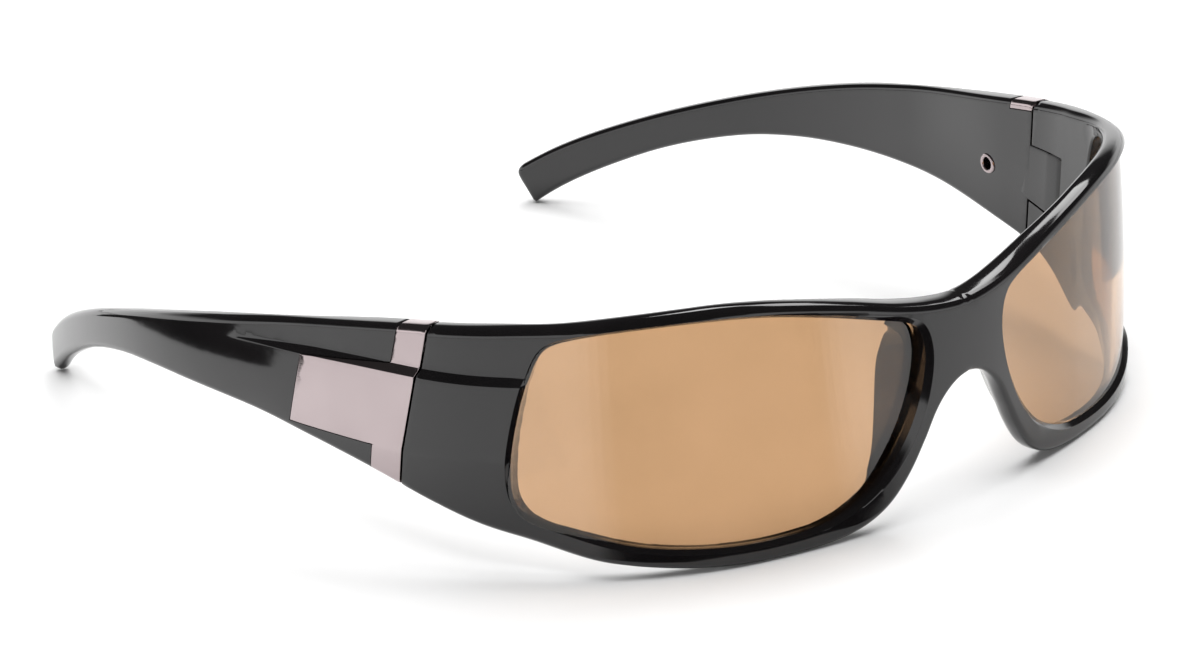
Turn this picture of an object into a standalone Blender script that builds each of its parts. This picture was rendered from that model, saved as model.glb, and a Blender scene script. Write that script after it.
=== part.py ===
"""Wraparound sport sunglasses: one moulded front, two lenses and two temples that fold on hinge screws.

Units are metres and +Z is up. Each piece is first laid out flat, as if the wrap were unrolled:
X is the length along the outer face from the nose, Y is the depth into the piece, and Z is the
height above the lowest point of the rims. `form` then bends the flat piece round the wrap curve.
Pieces are made for the wearer's left side, at +X, and mirrored for the right side.
"""
import math

import bmesh
import bpy
import numpy as np
from mathutils import Matrix, Vector

MM = 0.001

# Wrap curve of the outer face: (length from the nose in mm, tangent angle in degrees)
WRAP = [(0, 0), (10, 9), (22, 12.5), (34, 18), (50, 35), (65, 53), (80, 69), (95, 82),
        (130, 89), (170, 108), (212, 118)]
FACE_CROWN = 0.0035 / MM        # curvature of the front from top to bottom, per metre
TEMPLE_FLARE = 0.09             # how far the temples lean out at their lower edge, as a slope
CROWN_HEIGHT = 18.5 * MM        # height that the crown and the flare leave where it is
FLARE_START, FLARE_END = 70 * MM, 100 * MM

# Outlines on the flat layout: (length, height) in mm
BROW_TOP = [(0, 33.8), (6, 34.3), (12, 35.4), (20, 37.5), (28, 39.3), (36, 40.6), (44, 41.1),
            (56, 40.5), (70, 38.8), (82, 37.0), (96, 34.7)]
RIM_BOTTOM = [(0, 21.8), (3.2, 20.8), (6.2, 17.9), (8.8, 13.2), (11.6, 8.4), (15, 4.3), (19, 1.8),
              (24, 0.5), (32, 0), (42, 0), (54, 1.0), (66, 2.7), (80, 5.2), (90, 8.0), (98, 10.2)]
OPENING = [(69.6, 35.2), (65.5, 37.1), (58, 38.5), (47, 39.2), (37, 38.7), (27, 36.8), (17, 34.1),
           (10.4, 31.9), (8.7, 29.6), (8.3, 25.2), (9.8, 18.8), (13, 12.6), (18, 7.4), (25, 4.1),
           (33, 3.1), (43, 3.2), (55, 4.3), (66, 6.6), (73, 8.3), (75.4, 11.2), (75.4, 17),
           (74.1, 24), (72.1, 30.6)]
TEMPLE_TOP = [(78, 37.7), (96, 34.7), (112, 31.6), (126, 28.7), (142, 24.9), (160, 19.8),
              (178, 13.8), (192, 8.3), (202, 3.6), (210, -1.2), (216, -5.5)]
TEMPLE_BOTTOM = [(78, 4.8), (96, 9.7), (106, 11.6), (118, 13.1), (130, 13.7), (142, 13.5),
                 (154, 12.6), (166, 10.6), (180, 6.4), (192, 1.2), (202, -4.2), (212, -11.2)]
LEDGE = [(58, 31.2), (74, 29.6), (83, 28.7), (92, 27.9), (104, 26.9), (116, 25.7), (130, 24.4)]
LOWER_CREASE = [(58, 18.6), (80, 17.1), (94, 15.8), (104, 15.2), (118, 14.6), (134, 13.6)]

GAP = 0.3 * MM                  # between pieces that touch

# Lenses
LENS_THICKNESS = 1.8 * MM
LENS_RECESS = 0.9 * MM          # lens face behind the rim's face
LENS_BACKING = 1.1 * MM         # rim behind the lens
GROOVE_DEPTH = 0.8 * MM         # lens edge held in the rim

# Hinge
HINGE_LENGTH = 93.0 * MM        # length of the split at mid height
HINGE_RAKE = 0.205              # split and pin lean back towards the bottom, as a slope
HINGE_HEIGHT = 21.6 * MM        # mid height of the tongue
PIN_AHEAD = 7.0 * MM            # pin in front of the split
TONGUE_HEIGHT = 10.0 * MM
TONGUE_THICKNESS = 3.3 * MM
TONGUE_COVER = 1.35 * MM        # from the outer face to the tongue
TONGUE_INSET = 0.35 * MM        # from the tongue to the inner face
TONGUE_ROOT = 2.5 * MM          # length of the tongue inside the temple
PIN_DEPTH = TONGUE_COVER + TONGUE_THICKNESS / 2
SPLIT_GAP = 0.4 * MM
SCREW_RADIUS = 0.6 * MM
SCREW_HEAD_RADIUS = SCREW_RADIUS + 0.35 * MM
SCREW_HEAD_HEIGHT = 0.9 * MM
SCREW_LOWER_GRIP = 2.6 * MM     # from the head to the tongue
SCREW_UPPER_GRIP = 3.2 * MM     # above the tongue
DRIVER_SLOT_WIDTH = 0.36 * MM
DRIVER_SLOT_DEPTH = 0.36 * MM

# Front
RIM_THICKNESS = LENS_RECESS + LENS_THICKNESS + LENS_BACKING
ENDPIECE_THICKNESS = TONGUE_COVER + TONGUE_THICKNESS + TONGUE_INSET
ENDPIECE_START, ENDPIECE_FULL = 66 * MM, 80 * MM
LEDGE_DEPTH = 1.1 * MM          # the upper facet lies this far behind the middle one
LEDGE_RISE_START, LEDGE_RISE_END = 60 * MM, 76 * MM
LEDGE_FADE_START, LEDGE_FADE_END = 106 * MM, 128 * MM
LOWER_FACET_SLOPE = 0.17        # lower facet turns in by this slope

# Nose wings, moulded behind the inner side of each rim
WING_PATH = [(10.4, 30.6), (8.2, 25.4), (8.9, 19.4), (11.6, 12.8), (16.4, 6.6)]
WING_REACH = 4.8 * MM           # how far the wing stands behind the rim at its middle
WING_THICKNESS = 1.8 * MM
WING_FLARE = 0.85               # wing leans away from the nose towards the back

# Temples
TEMPLE_START = HINGE_LENGTH - 13 * MM      # laid out this far ahead, then cut at the split
TEMPLE_THICKNESS = 3.4 * MM
TEMPLE_THICK_END, TEMPLE_THIN_START = 100 * MM, 126 * MM
TIP_THICKNESS = 3.0 * MM
TIP_CUT = 207.5 * MM            # length at which the end face crosses the lower edge
TIP_SLOPE = 0.55                # the end face looks down by this slope

# Trim plates
TRIM_THICKNESS = 0.8 * MM
TRIM_STRIP = 6.0 * MM           # width of the upper and lower strips
TRIM_BLOCK = 23.6 * MM          # length of the middle block
STUD_BACK = 11.0 * MM           # stud behind the split
STUD_HEIGHT = 21.2 * MM
STUD_RADIUS = 0.7 * MM
EYELET_HOLE = STUD_RADIUS + GAP
EYELET_RADIUS = EYELET_HOLE + 0.7 * MM
EYELET_THICKNESS = 0.9 * MM
EYELET_STAND = 0.4 * MM         # eyelet stands proud of the inner face
EYELET_ROUNDING = 0.2 * MM

BEYOND = 12 * MM                # cutters reach this far past a piece
FAR = 60 * MM                   # past every outline
FACE_SLICES = (10 * MM, 19 * MM, 28 * MM)  # heights at which the face may bend
SLIVER = 0.01 * MM              # features smaller than this are merged
SLICE = 4.0 * MM                # spacing of the cuts that let a flat piece bend
CURVE_STEPS = 3                 # points on each stretch of an outline
ROUND_SIDES = 24

COLORS = {
    "black nylon": ((0.006, 0.006, 0.007, 1), 0.12, 0.0),
    "brown lens": ((0.42, 0.20, 0.07, 1), 0.04, 0.0),
    "satin nickel": ((0.55, 0.50, 0.51, 1), 0.32, 1.0),
    "steel": ((0.56, 0.56, 0.55, 1), 0.28, 1.0),
}


def clear_scene():
    for obj in list(bpy.data.objects):
        bpy.data.objects.remove(obj, do_unlink=True)


def new_collection(name, hidden=False):
    collection = bpy.data.collections.new(name)
    bpy.context.scene.collection.children.link(collection)
    collection.hide_render = hidden
    return collection


def material(name):
    color, roughness, metallic = COLORS[name]
    made = bpy.data.materials.get(name) or bpy.data.materials.new(name)
    made.use_nodes = True
    shader = made.node_tree.nodes["Principled BSDF"]
    shader.inputs["Base Color"].default_value = color
    shader.inputs["Roughness"].default_value = roughness
    shader.inputs["Metallic"].default_value = metallic
    return made


# ---------------------------------------------------------------- curves

def smooth(points, x):
    """Height at x of the smooth curve through the points, which never overshoots them."""
    px = np.array([p[0] for p in points], float)
    py = np.array([p[1] for p in points], float)
    slope = np.diff(py) / np.diff(px)
    tangent = np.zeros(len(px))
    for i in range(1, len(px) - 1):
        if slope[i - 1] * slope[i] > 0:
            tangent[i] = 2 / (1 / slope[i - 1] + 1 / slope[i])
    tangent[0], tangent[-1] = slope[0], slope[-1]
    x = np.asarray(x, float)
    i = np.clip(np.searchsorted(px, x) - 1, 0, len(slope) - 1)
    width = px[i + 1] - px[i]
    t = np.clip((x - px[i]) / width, 0, 1)
    rise = t * t * (3 - 2 * t)
    return (py[i] * (1 - rise) + py[i + 1] * rise
            + width * (tangent[i] * t * (1 - t) ** 2 - tangent[i + 1] * t * t * (1 - t)))


def fade(x, start, end):
    """0 before start, 1 after end, smooth between."""
    t = np.clip((np.asarray(x, float) - start) / (end - start), 0, 1)
    return t * t * (3 - 2 * t)


def curve_through(points, closed=False):
    """A smooth line through points given in mm, as an array in metres."""
    p = np.array(points, float) * MM
    count = len(p)
    stretches = count if closed else count - 1
    out = []
    for i in range(stretches):
        before = p[(i - 1) % count] if closed or i > 0 else 2 * p[0] - p[1]
        after = p[(i + 2) % count] if closed or i + 2 < count else 2 * p[-1] - p[-2]
        a, b = p[i], p[(i + 1) % count]
        span = np.linalg.norm(b - a)
        into = (b - before) * span / (span + np.linalg.norm(a - before))
        away = (after - a) * span / (span + np.linalg.norm(after - b))
        for k in range(CURVE_STEPS):
            t = k / CURVE_STEPS
            out.append(a * (1 + 2 * t) * (1 - t) ** 2 + b * t * t * (3 - 2 * t)
                       + into * t * (1 - t) ** 2 - away * t * t * (1 - t))
    if not closed:
        out.append(p[-1])
    return np.array(out)


def grown(outline, distance):
    """A closed outline moved outwards by a distance."""
    ahead = np.roll(outline, -1, 0) - np.roll(outline, 1, 0)
    ahead /= np.linalg.norm(ahead, axis=1)[:, None]
    x, z = outline[:, 0], outline[:, 1]
    turns = np.sum(x * np.roll(z, -1) - np.roll(x, -1) * z)
    out = np.stack([ahead[:, 1], -ahead[:, 0]], 1) * math.copysign(1, turns)
    return outline + out * distance


LENGTHS = np.linspace(0, 0.230, 2301)
ANGLES = np.radians(smooth(WRAP, LENGTHS / MM))
HALF_STEP = (LENGTHS[1] - LENGTHS[0]) / 2
PLAN_X = np.concatenate([[0], np.cumsum(np.cos(ANGLES[1:]) + np.cos(ANGLES[:-1]))]) * HALF_STEP
PLAN_Y = np.concatenate([[0], np.cumsum(np.sin(ANGLES[1:]) + np.sin(ANGLES[:-1]))]) * HALF_STEP


def formed(length, depth, height):
    """Where a point of the flat layout lies once the wrap is formed."""
    along = np.abs(length)
    x = np.interp(along, LENGTHS, PLAN_X)
    y = np.interp(along, LENGTHS, PLAN_Y)
    angle = np.interp(along, LENGTHS, ANGLES)
    temple = fade(along, FLARE_START, FLARE_END)
    drop = height - CROWN_HEIGHT
    out = -depth - (1 - temple) * FACE_CROWN * drop ** 2 / 2 - temple * TEMPLE_FLARE * drop
    x = (x + np.sin(angle) * out) * np.where(length < 0, -1, 1)
    return np.stack([x, y - np.cos(angle) * out, height], -1)


# ---------------------------------------------------------------- mesh helpers

def mesh_object(name, mesh, collection):
    obj = bpy.data.objects.new(name, mesh)
    collection.objects.link(obj)
    return obj


def panel(name, outlines, front, back, collection):
    """A flat piece from a filled outline, with any inner outlines left open, from depth front to back."""
    flat = bpy.data.curves.new(name, "CURVE")
    flat.dimensions = "2D"
    flat.fill_mode = "BOTH"
    flat.extrude = (back - front) / 2
    for outline in outlines:
        spline = flat.splines.new("POLY")
        spline.points.add(len(outline) - 1)
        for point, (x, z) in zip(spline.points, outline):
            point.co = (x, z, 0, 1)
        spline.use_cyclic_u = True
    drawn = mesh_object(name, flat, collection)
    bpy.context.view_layer.update()
    graph = bpy.context.evaluated_depsgraph_get()
    mesh = bpy.data.meshes.new_from_object(drawn.evaluated_get(graph))
    bpy.data.objects.remove(drawn)
    upright = Matrix.Rotation(math.pi / 2, 4, "X")
    mesh.transform(Matrix.Translation((0, (front + back) / 2, 0)) @ upright)
    return mesh_object(name, closed_up(mesh), collection)


def closed_up(mesh):
    """Joins the loose caps of a mesh to its sides and faces it outwards."""
    work = bmesh.new()
    work.from_mesh(mesh)
    bmesh.ops.remove_doubles(work, verts=work.verts, dist=1e-7)
    bmesh.ops.recalc_face_normals(work, faces=work.faces)
    work.to_mesh(mesh)
    work.free()
    return mesh


def loft(name, sections, collection):
    """A closed body through sections that all have the same number of points."""
    work = bmesh.new()
    rings = [[work.verts.new(point) for point in section] for section in sections]
    for ring, following in zip(rings, rings[1:]):
        for i in range(len(ring)):
            j = (i + 1) % len(ring)
            work.faces.new((ring[i], ring[j], following[j], following[i]))
    work.faces.new(rings[0][::-1])
    work.faces.new(rings[-1])
    bmesh.ops.recalc_face_normals(work, faces=work.faces)
    mesh = bpy.data.meshes.new(name)
    work.to_mesh(mesh)
    work.free()
    return mesh_object(name, mesh, collection)


def rod(name, radius, low, high, frame, collection, sides=ROUND_SIDES):
    """A cylinder along the frame's Z axis, from low to high on it."""
    work = bmesh.new()
    bmesh.ops.create_cone(work, cap_ends=True, segments=sides, radius1=radius, radius2=radius,
                          depth=high - low)
    mesh = bpy.data.meshes.new(name)
    work.to_mesh(mesh)
    work.free()
    mesh.transform(frame @ Matrix.Translation((0, 0, (low + high) / 2)))
    return mesh_object(name, mesh, collection)


def block(name, low, high, frame, collection):
    """A box between two corners in the frame."""
    work = bmesh.new()
    bmesh.ops.create_cube(work, size=1)
    mesh = bpy.data.meshes.new(name)
    work.to_mesh(mesh)
    work.free()
    low, high = Vector(low), Vector(high)
    size = Matrix.Diagonal((*(high - low), 1))
    mesh.transform(frame @ Matrix.Translation((low + high) / 2) @ size)
    return mesh_object(name, mesh, collection)


def combine(obj, others, operation="DIFFERENCE"):
    """Applies one Boolean for each other object, and marks those objects as cutters."""
    for other in others:
        step = obj.modifiers.new(other.name, "BOOLEAN")
        step.operation = operation
        step.solver = "EXACT"
        step.object = other
        other.display_type = "WIRE"
        other.hide_render = True
    bpy.context.view_layer.update()
    graph = bpy.context.evaluated_depsgraph_get()
    obj.data = healed(bpy.data.meshes.new_from_object(obj.evaluated_get(graph)))
    obj.modifiers.clear()
    return obj


def healed(mesh):
    """Collapses the slivers that a Boolean leaves where two faces nearly meet."""
    work = bmesh.new()
    work.from_mesh(mesh)
    bmesh.ops.remove_doubles(work, verts=work.verts, dist=SLIVER)
    bmesh.ops.dissolve_degenerate(work, edges=work.edges, dist=SLIVER)
    work.to_mesh(mesh)
    work.free()
    return mesh


def copied(obj, name, shift, collection):
    mesh = obj.data.copy()
    mesh.transform(Matrix.Translation(shift))
    return mesh_object(name, mesh, collection)


def form(obj, slice_heights=()):
    """Slices a flat piece into strips and bends it round the wrap curve."""
    work = bmesh.new()
    work.from_mesh(obj.data)
    bmesh.ops.dissolve_limit(work, angle_limit=math.radians(0.1), verts=work.verts,
                             edges=work.edges)
    lengths = [v.co.x for v in work.verts]
    first, last = math.floor(min(lengths) / SLICE) + 1, math.ceil(max(lengths) / SLICE)
    cuts = [((i * SLICE, 0, 0), (1, 0, 0)) for i in range(first, last)]
    cuts += [((0, 0, height), (0, 0, 1)) for height in slice_heights]
    for place, normal in cuts:
        everything = work.verts[:] + work.edges[:] + work.faces[:]
        bmesh.ops.bisect_plane(work, geom=everything, dist=1e-6, plane_co=place, plane_no=normal)
    bmesh.ops.triangulate(work, faces=work.faces)
    flat = np.array([v.co for v in work.verts])
    for vert, place in zip(work.verts, formed(flat[:, 0], flat[:, 1], flat[:, 2])):
        vert.co = place
    work.to_mesh(obj.data)
    work.free()
    return obj


def trimmed(obj, place, normal):
    """Cuts a piece off flat, on the side that the normal points to."""
    work = bmesh.new()
    work.from_mesh(obj.data)
    everything = work.verts[:] + work.edges[:] + work.faces[:]
    cut = bmesh.ops.bisect_plane(work, geom=everything, dist=1e-7, plane_co=place,
                                 plane_no=normal, clear_outer=True)
    rim = [edge for edge in cut["geom_cut"] if isinstance(edge, bmesh.types.BMEdge)]
    bmesh.ops.holes_fill(work, edges=rim)
    bmesh.ops.triangulate(work, faces=work.faces)
    bmesh.ops.recalc_face_normals(work, faces=work.faces)
    work.to_mesh(obj.data)
    work.free()
    return obj


# ---------------------------------------------------------------- shared shapes

def hinge_frame():
    """Frame of the left hinge: Z up the pin, Y back along the temple, X outwards, origin mid tongue."""
    def pin_point(height):
        length = HINGE_LENGTH - PIN_AHEAD + HINGE_RAKE * (HINGE_HEIGHT - height)
        return Vector(formed(length, PIN_DEPTH, height))
    middle = pin_point(HINGE_HEIGHT)
    up = (pin_point(HINGE_HEIGHT + TONGUE_HEIGHT) - pin_point(HINGE_HEIGHT - TONGUE_HEIGHT))
    up.normalize()
    at = HINGE_LENGTH - PIN_AHEAD
    back = Vector(formed(at + SLICE, PIN_DEPTH, HINGE_HEIGHT)) - middle
    back -= back.dot(up) * up
    back.normalize()
    frame = Matrix((back.cross(up), back, up)).transposed().to_4x4()
    frame.translation = middle
    return frame


def face_frame(length, height, depth):
    """Frame on the flat layout's point: Z out of the outer face, Y along the piece."""
    origin = Vector(formed(length, depth, height))
    out = Vector(formed(length, depth - MM, height)) - origin
    out.normalize()
    along = Vector(formed(length + MM, depth, height)) - origin
    along -= along.dot(out) * out
    along.normalize()
    frame = Matrix((along.cross(out), along, out)).transposed().to_4x4()
    frame.translation = origin
    return frame


def inner_cutter(name, profile, collection):
    """Removes everything deeper than the profile of (length, thickness) allows."""
    sections = [[(length, depth, -FAR), (length, BEYOND, -FAR), (length, BEYOND, FAR),
                 (length, depth, FAR)] for length, depth in profile]
    return loft(name, sections, collection)


def facet_cutters(start, end, collection):
    """Cutters for the ledge along the upper facet and for the lower facet's slope."""
    ledge, lower = [], []
    reach, skim, clear = 24 * MM, 0.02 * MM, -2 * MM
    for length in np.linspace(start, end, 26):
        height = float(smooth(LEDGE, length / MM)) * MM
        faded = 1 - float(fade(length, LEDGE_FADE_START, LEDGE_FADE_END))
        risen = float(fade(length, LEDGE_RISE_START, LEDGE_RISE_END))
        depth = LEDGE_DEPTH * faded * risen - skim
        ledge.append([(length, depth, height + depth), (length, clear, height + clear),
                      (length, clear, FAR), (length, depth, FAR)])
        crease = float(smooth(LOWER_CREASE, length / MM)) * MM
        slope = LOWER_FACET_SLOPE * risen * faded
        lower.append([(length, -skim, crease), (length, slope * reach, crease - reach),
                      (length, clear, crease - reach), (length, clear, crease)])
    return [loft("ledge_cut", ledge, collection), loft("lower_facet_cut", lower, collection)]


def band(top, bottom, start, end):
    """Closed outline between an upper and a lower edge, each a list of points in mm."""
    upper, lower = curve_through(top), curve_through(bottom)
    upper = upper[(upper[:, 0] > start) & (upper[:, 0] < end)]
    lower = lower[(lower[:, 0] > start) & (lower[:, 0] < end)]
    corners = [(x, float(smooth(edge, x / MM)) * MM) for x, edge in
               ((start, bottom), (end, bottom), (end, top), (start, top))]
    return np.array([corners[0], *lower, corners[1], corners[2], *upper[::-1], corners[3]])


# ---------------------------------------------------------------- pieces

def build_front(collection, cutters, hinge):
    overlap = 3 * MM
    beyond = 4 * MM
    outline = band(BROW_TOP, RIM_BOTTOM, 0, HINGE_LENGTH + beyond)
    outline = np.vstack([[(-overlap, outline[0][1])], outline, [(-overlap, outline[-1][1])]])
    opening = curve_through(OPENING, closed=True)
    front = panel("front_frame", [outline, opening], 0, ENDPIECE_THICKNESS, collection)
    profile = [(-2 * overlap, RIM_THICKNESS)]
    for length in np.linspace(ENDPIECE_START, ENDPIECE_FULL, 6):
        share = float(fade(length, ENDPIECE_START, ENDPIECE_FULL))
        profile.append((length, RIM_THICKNESS + share * (ENDPIECE_THICKNESS + MM - RIM_THICKNESS)))
    profile.append((HINGE_LENGTH + 2 * beyond, ENDPIECE_THICKNESS + MM))
    groove = panel("lens_groove", [grown(opening, GROOVE_DEPTH + GAP)], LENS_RECESS - GAP,
                   LENS_RECESS + LENS_THICKNESS + GAP, cutters)
    facets = facet_cutters(LEDGE_RISE_START, HINGE_LENGTH + 2 * beyond, cutters)
    combine(front, [inner_cutter("front_inner_cut", profile, cutters), groove, *facets])
    form(front, slice_heights=FACE_SLICES)
    combine(front, [nose_wing(cutters)], "UNION")
    split = hinge @ Vector((0, PIN_AHEAD - SPLIT_GAP / 2, 0))
    trimmed(front, split, hinge.to_3x3() @ Vector((0, 1, 0)))
    combine(front, hinge_cutters(hinge, cutters))
    mirror = front.modifiers.new("other_half", "MIRROR")
    mirror.use_axis = (True, False, False)
    mirror.use_bisect_axis = (True, False, False)
    mirror.merge_threshold = 0.00001
    return front


def nose_wing(collection):
    """A fin behind the nasal side of the rim, deepest at mid height, that rests on the nose."""
    path = curve_through(WING_PATH)
    ahead = np.gradient(path, axis=0)
    ahead /= np.linalg.norm(ahead, axis=1)[:, None]
    sections = []
    for i, (place, along) in enumerate(zip(path, ahead)):
        swell = math.sin(math.pi * (i + 0.6) / (len(path) + 0.2)) ** 0.7
        reach = WING_REACH * swell
        side = np.array([-along[1], along[0]])
        section = []
        for depth, across in ((RIM_THICKNESS - MM, -0.5), (RIM_THICKNESS + reach * 0.8, -0.5),
                              (RIM_THICKNESS + reach, -0.25), (RIM_THICKNESS + reach, 0.25),
                              (RIM_THICKNESS + reach * 0.8, 0.5), (RIM_THICKNESS - MM, 0.5)):
            lean = WING_FLARE * max(depth - RIM_THICKNESS, 0)
            length, height = place + side * (across * WING_THICKNESS + lean)
            section.append(Vector(formed(length, depth, height)))
        sections.append(section)
    return loft("nose_wing", sections, collection)


def hinge_cutters(hinge, collection):
    """Slot for the tongue, and the screw's bore and head recess, in the front's endpiece."""
    half, wall = TONGUE_HEIGHT / 2 + GAP, TONGUE_THICKNESS / 2 + GAP
    slot = block("tongue_slot", (-BEYOND, -wall, -half), (wall, BEYOND, half), hinge, collection)
    top = TONGUE_HEIGHT / 2 + SCREW_UPPER_GRIP + GAP
    bore = rod("screw_bore", SCREW_RADIUS + GAP, -2 * BEYOND, top, hinge, collection)
    seat = -TONGUE_HEIGHT / 2 - SCREW_LOWER_GRIP + GAP
    recess = rod("screw_recess", SCREW_HEAD_RADIUS + GAP, -2 * BEYOND, seat, hinge, collection)
    return [slot, bore, recess]


def build_lens(collection, cutters):
    outline = grown(curve_through(OPENING, closed=True), GROOVE_DEPTH)
    lens = panel("lens", [outline], LENS_RECESS, LENS_RECESS + LENS_THICKNESS, collection)
    return form(lens, slice_heights=FACE_SLICES)


def temple_thickness(length):
    root = ENDPIECE_THICKNESS + (TEMPLE_THICKNESS - ENDPIECE_THICKNESS) * float(
        fade(length, TEMPLE_THICK_END, TEMPLE_THIN_START))
    return root + (TIP_THICKNESS - TEMPLE_THICKNESS) * float(fade(length, TEMPLE_THIN_START, TIP_CUT))


def flat_temple(name, collection, cutters):
    """The temple's full shape on the flat layout, before the trim's pocket is cut."""
    end = TIP_CUT + 6 * MM
    temple = panel(name, [band(TEMPLE_TOP, TEMPLE_BOTTOM, TEMPLE_START, end)], 0,
                   ENDPIECE_THICKNESS, collection)
    profile = [(TEMPLE_START - MM, ENDPIECE_THICKNESS + MM),
               (TEMPLE_THICK_END, ENDPIECE_THICKNESS + MM)]
    for length in np.linspace(TEMPLE_THICK_END + MM, end + MM, 24):
        profile.append((length, temple_thickness(length)))
    inner = inner_cutter(name + "_inner_cut", profile, cutters)
    facets = facet_cutters(TEMPLE_START - MM, LEDGE_FADE_END, cutters)
    return combine(temple, [inner, *facets])


def trim_outline(margin):
    """Outline of the trim plate: upper strip, middle block and lower strip behind the split."""
    def behind(height, distance):
        return HINGE_LENGTH + HINGE_RAKE * (HINGE_HEIGHT - height) + distance
    def on(line, distance):
        height = HINGE_HEIGHT
        for _ in range(5):
            height = float(smooth(line, behind(height, distance) / MM)) * MM
        return height
    strip, long, front = TRIM_STRIP + margin, TRIM_BLOCK + margin, -PIN_AHEAD + 2 * MM
    ledge_near, ledge_far = on(LEDGE, strip) + LEDGE_DEPTH + margin, on(LEDGE, long) + margin
    crease_near, crease_far = on(LOWER_CREASE, strip) - margin, on(LOWER_CREASE, long) - margin
    return np.array([(behind(FAR, front), FAR), (behind(FAR, strip), FAR),
                     (behind(ledge_near, strip), ledge_near), (behind(ledge_far, long), ledge_far),
                     (behind(crease_far, long), crease_far),
                     (behind(crease_near, strip), crease_near),
                     (behind(-FAR, strip), -FAR), (behind(-FAR, front), -FAR)])


def build_temple(collection, cutters, hinge):
    temple = flat_temple("temple", collection, cutters)
    inset = TRIM_THICKNESS + GAP
    core = copied(temple, "trim_floor", (0, inset, -inset), cutters)
    pocket = panel("trim_pocket", [trim_outline(GAP)], -BEYOND, BEYOND, cutters)
    combine(pocket, [core])
    form(pocket)
    form(temple)
    back = hinge.to_3x3() @ Vector((0, 1, 0))
    trimmed(temple, hinge @ Vector((0, PIN_AHEAD + SPLIT_GAP / 2, 0)), -back)
    wall, half = TONGUE_THICKNESS / 2, TONGUE_HEIGHT / 2
    root = PIN_AHEAD + TONGUE_ROOT
    nose = rod("tongue_nose", wall, -half, half, hinge, cutters)
    tongue = block("tongue", (-wall, 0, -half), (wall, root, half), hinge, cutters)
    combine(tongue, [nose], "UNION")
    combine(temple, [tongue], "UNION")
    bore = rod("tongue_bore", SCREW_RADIUS + GAP, -2 * half, 2 * half, hinge, cutters)
    stud = stud_frame()
    stud_bore = rod("stud_bore", STUD_RADIUS + GAP, -BEYOND, BEYOND, stud, cutters)
    seat_top = eyelet_span()[1] + GAP
    seat = rod("eyelet_seat", EYELET_RADIUS + GAP, -BEYOND, seat_top, stud, cutters)
    combine(temple, [pocket, bore, stud_bore, seat])
    tip = face_frame(TIP_CUT, float(smooth(TEMPLE_BOTTOM, TIP_CUT / MM)) * MM, 0)
    trimmed(temple, tip.translation, tip.to_3x3() @ Vector((TIP_SLOPE, 1, 0)))
    return temple


def stud_frame():
    length = HINGE_LENGTH + HINGE_RAKE * (HINGE_HEIGHT - STUD_HEIGHT) + STUD_BACK
    return face_frame(length, STUD_HEIGHT, 0)


def eyelet_span():
    """Lowest and highest place of the eyelet along the stud, measured from the outer face."""
    length = HINGE_LENGTH + STUD_BACK
    low = -temple_thickness(length) - EYELET_STAND
    return low, low + EYELET_THICKNESS


def build_trim(collection, cutters, hinge):
    whole = flat_temple("trim_body", cutters, cutters)
    inner = copied(whole, "trim_inside", (0, TRIM_THICKNESS, -TRIM_THICKNESS), cutters)
    plate = panel("trim_plate", [trim_outline(0)], -BEYOND, BEYOND, collection)
    combine(plate, [whole], "INTERSECT")
    combine(plate, [inner])
    form(plate)
    back = hinge.to_3x3() @ Vector((0, 1, 0))
    trimmed(plate, hinge @ Vector((0, PIN_AHEAD + SPLIT_GAP / 2, 0)), -back)
    low, high = eyelet_span()
    stud = rod("stud", STUD_RADIUS, low + EYELET_STAND, -TRIM_THICKNESS / 2, stud_frame(), cutters)
    return combine(plate, [stud], "UNION")


def turned(name, profile, frame, collection):
    """A ring turned from a closed profile of (radius, height), outer side first and downwards."""
    mesh = bpy.data.meshes.new(name)
    count = len(profile)
    edges = [(i, (i + 1) % count) for i in range(count)]
    mesh.from_pydata([(radius, 0, height) for radius, height in profile], edges, [])
    ring = mesh_object(name, mesh, collection)
    spin = ring.modifiers.new("turn", "SCREW")
    spin.axis = "Z"
    spin.steps = spin.render_steps = ROUND_SIDES
    spin.use_merge_vertices = True
    spin.merge_threshold = 0.00001
    combine(ring, [])
    ring.data.transform(frame)
    closed_up(ring.data)
    return ring


def build_eyelet(collection):
    low, high = eyelet_span()
    soft = low + EYELET_ROUNDING
    profile = [(EYELET_RADIUS, high), (EYELET_RADIUS, soft), (EYELET_RADIUS - EYELET_ROUNDING, low),
               (EYELET_HOLE + EYELET_ROUNDING, low), (EYELET_HOLE, soft), (EYELET_HOLE, high)]
    return turned("eyelet", profile, stud_frame(), collection)


def build_screw(collection, cutters, hinge):
    seat = -TONGUE_HEIGHT / 2 - SCREW_LOWER_GRIP
    top = TONGUE_HEIGHT / 2 + SCREW_UPPER_GRIP
    screw = rod("hinge_screw", SCREW_HEAD_RADIUS, seat - SCREW_HEAD_HEIGHT, seat, hinge, collection)
    shank = rod("screw_shank", SCREW_RADIUS, seat - SCREW_HEAD_HEIGHT / 2, top, hinge, cutters)
    combine(screw, [shank], "UNION")
    wide, narrow = 2 * SCREW_HEAD_RADIUS, DRIVER_SLOT_WIDTH / 2
    bottom = seat - SCREW_HEAD_HEIGHT
    slot = block("driver_slot", (-wide, -narrow, bottom - MM),
                 (wide, narrow, bottom + DRIVER_SLOT_DEPTH), hinge, cutters)
    return combine(screw, [slot])


# ---------------------------------------------------------------- assembly

def mirrored(obj, name, collection):
    mesh = obj.data.copy()
    mesh.transform(Matrix.Scale(-1, 4, (1, 0, 0)))
    mesh.flip_normals()
    return mesh_object(name, mesh, collection)


def pair(obj, collection):
    """Names the piece for the wearer's left side and adds its mirror image for the right."""
    base = obj.name
    obj.name = base + "_left"
    return obj, mirrored(obj, base + "_right", collection)


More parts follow.
